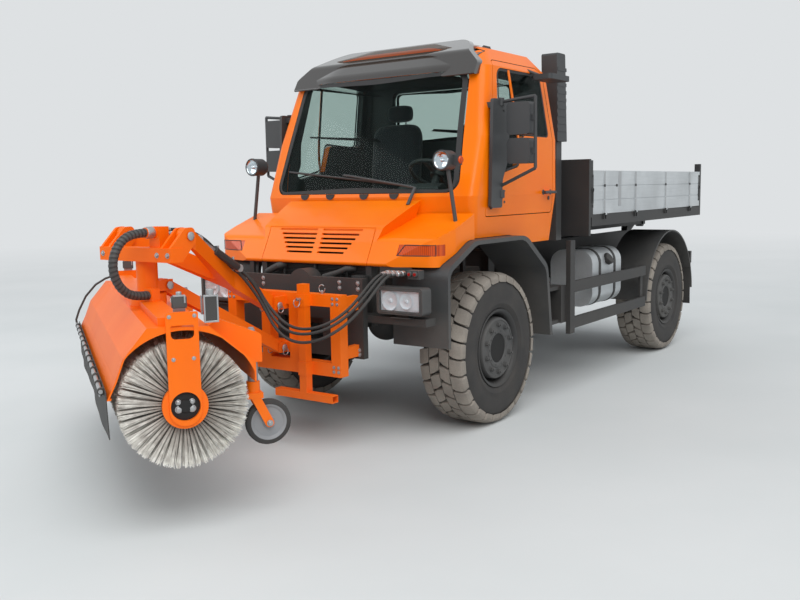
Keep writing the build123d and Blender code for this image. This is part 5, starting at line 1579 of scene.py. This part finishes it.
# how far each edge of the skin stands off the panel, and its height
SKIN_EDGES = ((0.0012, 1.268), (0.0012, 1.226), (-0.006, 1.226), (-0.006, 1.268))
corner_skin = Shape()
for side in (1, -1):
    rows = [[], [], [], []]
    for step in range(13):
        slide = -0.09 + 0.015 * step
        start = (1.1 - 0.7 * slide, side * (1.16 + 0.7 * slide), 1.266)
        place, _ = surface_at("bonnet", start, (-0.7071, -side * 0.7071, 0))
        for row, (lift, z) in zip(rows, SKIN_EDGES):
            row.append((place.x + 0.7 * lift, place.y + side * 0.7 * lift, z))
    corner_skin.rings(list(zip(*rows)))
corner_skin.piece("bonnet_corners", "chassis", CAB_ORANGE, 0.0)

for side, name in SIDES:
    edge = Shape()
    corners = [(0.735, 1.302), (1.0, 1.302), (1.0, 1.373), (0.78, 1.373)]
    line = []
    for number in range(4):
        first, last = corners[number], corners[(number + 1) % 4]
        for step in range(6):
            y = first[0] + (last[0] - first[0]) * step / 6
            z = first[1] + (last[1] - first[1]) * step / 6
            place, normal = surface_at("indicators", (1.4, side * y, z), BACKWARD)
            line.append(place + normal * 0.001)
    line.append(line[0])
    edge.rod(line, 0.0035, 6)
    edge.piece(f"indicator_edge_{name}", "chassis", SOFT_RUBBER, 0.0)

# %% [markdown]
# ## Tank and bed
#
# The fuel tank is aluminium with two steel straps and a filler cap. Each drop side is closed
# by two lever latches, carries vertical straps with rubber plugs and has rope hooks below
# it. Straps and hooks are bent flat bars. The tank isn't quite round, so its straps are laid
# by dropping lines on it from all round.

# %% Tank straps, board straps, latches and hooks
HOOP_STEPS = 56
STRAP_EDGES = ((-0.022, 0.0), (-0.022, 0.005), (0.022, 0.005), (0.022, 0.0))
FILLER = [(0, 0.05), (0.03, 0.05)]
FILLER_CAP = [(0.014, 0.056), (0.034, 0.056), (0.04, 0.05), (0.042, 0.03)]
tank = Shape()
for x in (-2.24, -1.9):
    hoop = []
    for step in range(HOOP_STEPS):
        angle = step * math.tau / HOOP_STEPS
        out = Vector((0, math.cos(angle), math.sin(angle)))
        start = Vector((x, 0.805, 0.915)) + out
        place, normal = surface_at("fuel_tank", tuple(start), -out)
        hoop.append([(x + along, place.y + normal.y * lift, place.z + normal.z * lift)
                     for along, lift in STRAP_EDGES])
    hoop.append(hoop[0])
    tank.rings(hoop, open_ends=True)
tank.turned((-2.07, 1.0, 1.06), (0, 0.8, 0.6), FILLER, 28)
tank.turned((-2.07, 1.006, 1.066), (0, 0.8, 0.6), FILLER_CAP, 28)
tank.piece("tank_straps", "chassis", CHASSIS_BLACK, 0.001)

for side, name in SIDES:
    straps = Shape()
    plugs = Shape()

    def on_board(shape, x, half, z0, z1, lift):
        start = (x, side * 1.6, (z0 + z1) / 2 + 0.004)
        place, _ = surface_at(f"side_board_{name}", start, (0, -side, 0))
        shape.block(x - half, x + half, place.y - side * 0.001, place.y + side * lift, z0, z1)

    for x in (-1.717, -2.444, -3.258, -4.007):
        for z0, z1 in ((1.512, 1.617), (1.627, 1.74), (1.75, 1.868)):
            on_board(straps, x, 0.014, z0, z1, 0.003)
        on_board(plugs, x, 0.016, 1.734, 1.757, 0.004)
    on_board(plugs, -2.0, 0.014, 1.734, 1.757, 0.004)
    for z0, z1 in ((1.56, 1.617), (1.627, 1.74), (1.75, 1.87)):
        on_board(straps, -2.07, 0.03, z0, z1, 0.003)
    straps.piece(f"board_straps_{name}", f"side_{name}", ZINC, 0.0008)
    plugs.piece(f"board_plugs_{name}", f"side_{name}", SOFT_RUBBER, 0.0008)
    latch = Shape()
    for x in (-1.47, -4.33):
        latch.block(x - 0.02, x + 0.02, side * 1.112, side * 1.124, 1.56, 1.84)
        latch.turned((x, side * 1.118, 1.71), (0, side, 0), [(0, 0.02), (0.012, 0.02)], 16)
        latch.block(x - 0.011, x + 0.011, side * 1.12, side * 1.13, 1.6, 1.72)
        for z in (1.575, 1.825):
            latch.bolt((x, side * 1.124, z), (0, side, 0), 0.006)
    latch.piece(f"board_latches_{name}", "bed", CHASSIS_BLACK, 0.0015)

HOOK = (
    (-0.04, 1.09, 1.47), (-0.04, 1.108, 1.425), (0, 1.112, 1.41), (0.04, 1.108, 1.425), (0.04, 1.09, 1.47),
)
hooks = Shape()
for side in (1, -1):
    for number in range(8):
        x = -1.62 - number * 0.36
        hooks.rod([(x + along, side * y, z) for along, y, z in HOOK], 0.006, 8)
hooks.piece("rope_hooks", "bed", ZINC, 0.0)

# %% [markdown]
# ## Lenses, plate and mud flaps
#
# At the back are the lenses of the tail lamps, a bare plate and the mud flaps. A lens is a
# thin coloured block on the lamp's face. A flap is a sheet of rubber that hangs from its
# upper edge and has set in a slight wave, which a sine down its length gives.

# %% Lenses, plate and mud flaps
back = Shape()
white = Shape()
plate = Shape()
LENSES = ((0.715, 0.79, back), (0.8, 0.86, white), (0.87, 0.945, back), (0.955, 1.045, back))
for side in (1, -1):
    for y0, y1, shape in LENSES:
        shape.block(-4.336, -4.331, side * y0, side * y1, 0.882, 0.988)
back.piece("tail_lenses", "chassis", RED_LENS, 0.002)
white.piece("reversing_lenses", "chassis", LAMP_SILVER, 0.002)
plate.block(-4.35, -4.347, -0.26, 0.26, 0.49, 0.6)
plate.piece("blank_plate", "chassis", ALUMINIUM, 0.001)
FLAP_THICK = 0.008
flaps = Shape()
for side in (1, -1):
    inner, outer = side * 0.66, side * 1.08
    rows = []
    for number in range(9):
        z = 0.9 - number * 0.06
        x = -4.235 - 0.004 * math.sin(number * 0.8)
        rows.append([(x, inner, z), (x, outer, z), (x - FLAP_THICK, outer, z), (x - FLAP_THICK, inner, z)])
    flaps.rings(rows)
flaps.piece("mud_flaps", "chassis", SOFT_RUBBER, 0.001)

# %% [markdown]
# ## Seats
#
# Each seat is a foam cushion and a foam back in woven cloth, with a head rest, on a dark
# base. Foam under cloth is crowned and pulled in at its seams, and no block looks like it.
# A rounded block is divided finely, blown up a little as cloth with Blender's simulation,
# and the sewn channels are pressed in afterwards, because the fine division would lose them.

# %% Padded pieces
PRESSURE = 4.0
CLOTH_FRAMES = 20
MOST_BLOWN = 0.012
SEAM_WIDTH, SEAM_DEPTH = 0.006, 0.007


def rounded_pad(low, high, lean):
    # a block whose sides pull in between its corners; lean moves it back as it rises
    pad = bmesh.new()
    bmesh.ops.create_cube(pad, size=2.0)
    bmesh.ops.subdivide_edges(pad, edges=pad.edges, cuts=7, use_grid_fill=True)
    middle = (Vector(low) + Vector(high)) / 2
    half = (Vector(high) - Vector(low)) / 2
    for corner in pad.verts:
        u, v, w = corner.co
        length = (abs(u) ** 5 + abs(v) ** 5 + abs(w) ** 5) ** 0.2
        u, v, w = u / length, v / length, w / length
        place = middle + Vector((u * half.x, v * half.y, w * half.z))
        place.x -= lean * (place.z - low[2])
        corner.co = at(*place)
    mesh = bpy.data.meshes.new("pad")
    pad.to_mesh(mesh)
    pad.free()
    return mesh


def settled(made):
    graph = bpy.context.evaluated_depsgraph_get()
    mesh = bpy.data.meshes.new_from_object(made.evaluated_get(graph))
    made.modifiers.clear()
    made.data = mesh


def blow_up(made):
    # let the cloth swell, but move no corner further than MOST_BLOWN
    before = [corner.co.copy() for corner in made.data.vertices]
    cloth = made.modifiers.new("cloth", "CLOTH")
    cloth.settings.use_pressure = True
    cloth.settings.uniform_pressure_force = PRESSURE
    cloth.settings.effector_weights.gravity = 0.0
    cloth.point_cache.frame_start = 1
    cloth.point_cache.frame_end = CLOTH_FRAMES
    for number in range(1, CLOTH_FRAMES + 1):
        bpy.context.scene.frame_set(number)
    settled(made)
    bpy.context.scene.frame_set(1)
    for corner, old in zip(made.data.vertices, before):
        moved = corner.co - old
        if moved.length > MOST_BLOWN:
            corner.co = old + moved.normalized() * MOST_BLOWN


def pad(name, low, high, lean, channels, hides=()):
    made = bpy.data.objects.new(name, rounded_pad(low, high, lean))
    bpy.context.collection.objects.link(made)
    fine = made.modifiers.new("fine", "REMESH")
    fine.voxel_size = 0.015
    settled(made)
    blow_up(made)
    smooth = made.modifiers.new("smooth", "SUBSURF")
    smooth.levels = 1
    smooth.render_levels = 1
    settled(made)
    middle = at(*((Vector(low) + Vector(high)) / 2))
    for corner in made.data.vertices:
        across = corner.co.y - middle.y
        dip = sum(math.exp(-((across - channel) / SEAM_WIDTH) ** 2) for channel in channels)
        corner.co += (middle - corner.co).normalized() * SEAM_DEPTH * min(dip, 1.0)
    made.data.materials.clear()
    made.data.materials.append(SEAT_CLOTH)
    made.data.polygons.foreach_set("use_smooth", [True] * len(made.data.polygons))
    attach(made, "chassis")
    if hides:
        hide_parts(*hides)
    print(name, len(made.data.polygons), "faces")


pad("driver_cushion", (-0.815, 0.22, 1.575), (-0.335, 0.68, 1.69), 0.0, (-0.12, 0.12), ["seats"])
pad("driver_back", (-0.81, 0.225, 1.69), (-0.695, 0.675, 2.32), 0.1, (-0.12, 0.12))
pad("driver_head_rest", (-0.9, 0.33, 2.335), (-0.8, 0.57, 2.475), 0.0, ())
pad("mate_cushion", (-0.815, -0.7, 1.575), (-0.335, -0.16, 1.69), 0.0, (-0.14, 0.14))
pad("mate_back", (-0.81, -0.695, 1.69), (-0.695, -0.165, 2.32), 0.1, (-0.14, 0.14))
pad("mate_head_rest", (-0.9, -0.55, 2.335), (-0.8, -0.31, 2.475), 0.0, ())

bases = Shape()
for y in (0.45, -0.43):
    bases.block(-0.76, -0.4, y - 0.15, y + 0.15, 1.366, 1.5)
    bases.block(-0.79, -0.36, y - 0.19, y + 0.19, 1.5, 1.572)
    for step in range(6):
        z = 1.39 + step * 0.02
        bases.block(-0.77, -0.39, y - 0.16, y + 0.16, z, z + 0.012)
    for across in (-0.06, 0.06):
        bases.rod([(-0.845, y + across, 2.29), (-0.85, y + across, 2.36)], 0.006, 8)
bases.piece("seat_bases", "chassis", CABIN_PLASTIC, 0.004)

# %% [markdown]
# ## The rubber skirt
#
# A strip of rubber sheet hangs from the lip of the cover and keeps the dust in. It hangs by
# its upper edge only, so its lower edge waves a little. A grid of points moved by two slow
# waves that grow downwards gives that, and a second layer behind gives its thickness.

# %% Skirt
SKIRT_LOW = 0.56
SKIRT_HIGH = 0.797
SKIRT_LONG = 2.67
SKIRT_STEPS = 89
HALF_THICK = 0.0025
skirt = Shape(on_broom)
rows = []
for step in range(SKIRT_STEPS + 1):
    b = 0.955 - SKIRT_LONG * step / SKIRT_STEPS
    column = []
    for part in range(7):
        share = part / 6
        z = SKIRT_HIGH - (SKIRT_HIGH - SKIRT_LOW) * share
        wave = 0.005 * share * math.sin(b * 4.5) + 0.002 * share * math.sin(b * 11.0 + 1.0)
        column.append((0.328 + wave, z))
    front = [(a + HALF_THICK, b, z) for a, z in column]
    rows.append(front + [(a - HALF_THICK, b, z) for a, z in reversed(column)])
skirt.rings(rows)
made = skirt.piece("rubber_skirt", "broom", SOFT_RUBBER, 0.0, 50, ["skirt"])

# %% [markdown]
# ## Lift cylinder, roof fittings and stack
#
# A short cylinder beside the near boom takes the shocks of the broom: a black tube and a
# bright rod between two eyes. Round the cab are a knob and the foot of an aerial on the roof
# and the louvres of the intake stack. All are rods, blocks and turned forms gathered in a
# few pieces.

# %% Cylinder, roof and stack
BARREL = [(0, 0.012), (0.01, 0.024), (0.26, 0.024), (0.262, 0.028), (0.285, 0.028), (0.288, 0.018)]
EYE_RING = [(0, 0.022), (0.003, 0.025), (0.033, 0.025), (0.036, 0.022)]
cylinder = Shape()
low = Vector((1.72, 0.11, 1.27))
high = Vector((2.14, 0.2, 1.49))
along = (high - low).normalized()
cylinder.turned(low, along, BARREL, 20)
cylinder.piece("lift_cylinder", "upper_arms", CHASSIS_BLACK, 0.0006)
piston = Shape()
piston.turned(low + along * 0.28, along, [(0, 0.0125), (0.16, 0.0125)], 16)
for place in (low - along * 0.01, low + along * 0.455):
    piston.turned(place - Vector((0, 0.018, 0)), LEFT, EYE_RING, 20)
for distance in (0.06, 0.24):
    port = low + along * distance
    piston.rod([port + Vector((0, 0, 0.024)), port + Vector((0, 0, 0.045))], 0.009, 10)
piston.piece("lift_piston", "upper_arms", ZINC, 0.0004)

HIGHEST = 2.883
roof = Shape()
for x, y, size in ((-0.42, 0.7, 0.03), (-0.75, -0.5, 0.024)):
    place, normal = surface_at("cab_shell", (x, y, ABOVE), DOWN)
    rows = [(-0.004, size * 1.2), (0.004, size * 1.2), (0.008, size), (0.016, size * 0.95)]
    if place.z + 0.02 < HIGHEST:
        roof.turned(place, normal, rows, 24)
roof.piece("roof_fittings", "chassis", BLACK_PLASTIC, 0.0008)

stack = Shape()
for number in range(9):
    z = 2.2 + number * 0.062
    stack.block(-1.352, -1.188, 0.7865, 0.792, z, z + 0.03)
    stack.block(-1.352, -1.188, 0.928, 0.9335, z, z + 0.03)
    stack.block(-1.3735, -1.368, 0.81, 0.91, z, z + 0.03)
stack.piece("stack_louvres", "chassis", BLACK_PLASTIC, 0.001)

# %% [markdown]
# ## The studio
#
# A pale floor, a pale surround, one broad soft light from high up and two large lamps. The
# surround is seen by the camera, by mirrors and through glass at one brightness, and lights
# the truck at another, so the picture can be pale without washing the paint out.

# %% Floor, surround and lamps
SURROUND = srgb(222, 225, 227)


def build_floor():
    made = Finish("studio_floor")
    cloud = made.noise(0.5, 4.0)
    made.set(Base_Color=made.mix(made.spread(cloud, 0.3, 0.7), srgb(212, 215, 215), srgb(204, 208, 208)))
    made.set(Roughness=0.8)
    apart = made.node("ShaderNodeVectorMath", {"operation": "LENGTH"}, {0: made.place()}, output=1)
    glow = made.node("ShaderNodeEmission", {}, {"Color": SURROUND, "Strength": 1.0})
    own = Wire(made, made.shader.outputs[0])
    both = made.node("ShaderNodeMixShader", {}, {0: made.spread(apart, 7.0, 26.0), 1: own, 2: glow})
    made.feed(made.tree.nodes["Material Output"].inputs["Surface"], both)
    mesh = bpy.data.meshes.new("studio_floor")
    reach = 80
    corners = [(-reach, -reach, 0), (reach, -reach, 0), (reach, reach, 0), (-reach, reach, 0)]
    mesh.from_pydata(corners, [], [(0, 1, 2, 3)])
    floor = bpy.data.objects.new("studio_floor", mesh)
    bpy.context.collection.objects.link(floor)
    mesh.materials.append(made.material)


def build_surround(shown, filling):
    world = bpy.data.worlds.new("studio")
    bpy.context.scene.world = world
    world.use_nodes = True
    nodes = world.node_tree.nodes
    links = world.node_tree.links
    fill = nodes["Background"]
    fill.inputs["Color"].default_value = (0.93, 0.96, 1.0, 1)
    fill.inputs["Strength"].default_value = filling
    seen = nodes.new("ShaderNodeBackground")
    seen.inputs["Color"].default_value = (*shown, 1)
    path = nodes.new("ShaderNodeLightPath")
    either = path.outputs["Is Camera Ray"]
    for ray in ("Is Glossy Ray", "Is Transmission Ray"):
        both = nodes.new("ShaderNodeMath")
        both.operation = "MAXIMUM"
        links.new(either, both.inputs[0])
        links.new(path.outputs[ray], both.inputs[1])
        either = both.outputs[0]
    choose = nodes.new("ShaderNodeMixShader")
    links.new(either, choose.inputs[0])
    links.new(fill.outputs[0], choose.inputs[1])
    links.new(seen.outputs[0], choose.inputs[2])
    links.new(choose.outputs[0], nodes["World Output"].inputs["Surface"])


def soft_lamp(name, place, target, size, watts, colour):
    data = bpy.data.lights.new(name, "AREA")
    data.shape = "RECTANGLE"
    data.size, data.size_y = size
    data.energy = watts
    data.color = colour
    lamp = bpy.data.objects.new(name, data)
    bpy.context.collection.objects.link(lamp)
    lamp.location = place
    lamp.rotation_euler = (target - place).to_track_quat("-Z", "Y").to_euler()


build_floor()
build_surround(SURROUND, 0.55)
LOOK_AT = at(0.2, 0, 1.2)
sun_data = bpy.data.lights.new("high_light", "SUN")
sun_data.energy = 1.5
sun_data.angle = math.radians(50)
sun = bpy.data.objects.new("high_light", sun_data)
sun.rotation_euler = (LOOK_AT - at(3.0, 3.5, 9.0)).to_track_quat("-Z", "Y").to_euler()
bpy.context.collection.objects.link(sun)
soft_lamp("key", at(7.5, 7.0, 6.5), LOOK_AT, (5, 4), 240, (1.0, 0.98, 0.95))
soft_lamp("fill", at(6.0, -7.0, 5.5), LOOK_AT, (6, 4), 160, (0.95, 0.98, 1.0))
bpy.context.scene.view_settings.view_transform = "Standard"
print("studio lit")
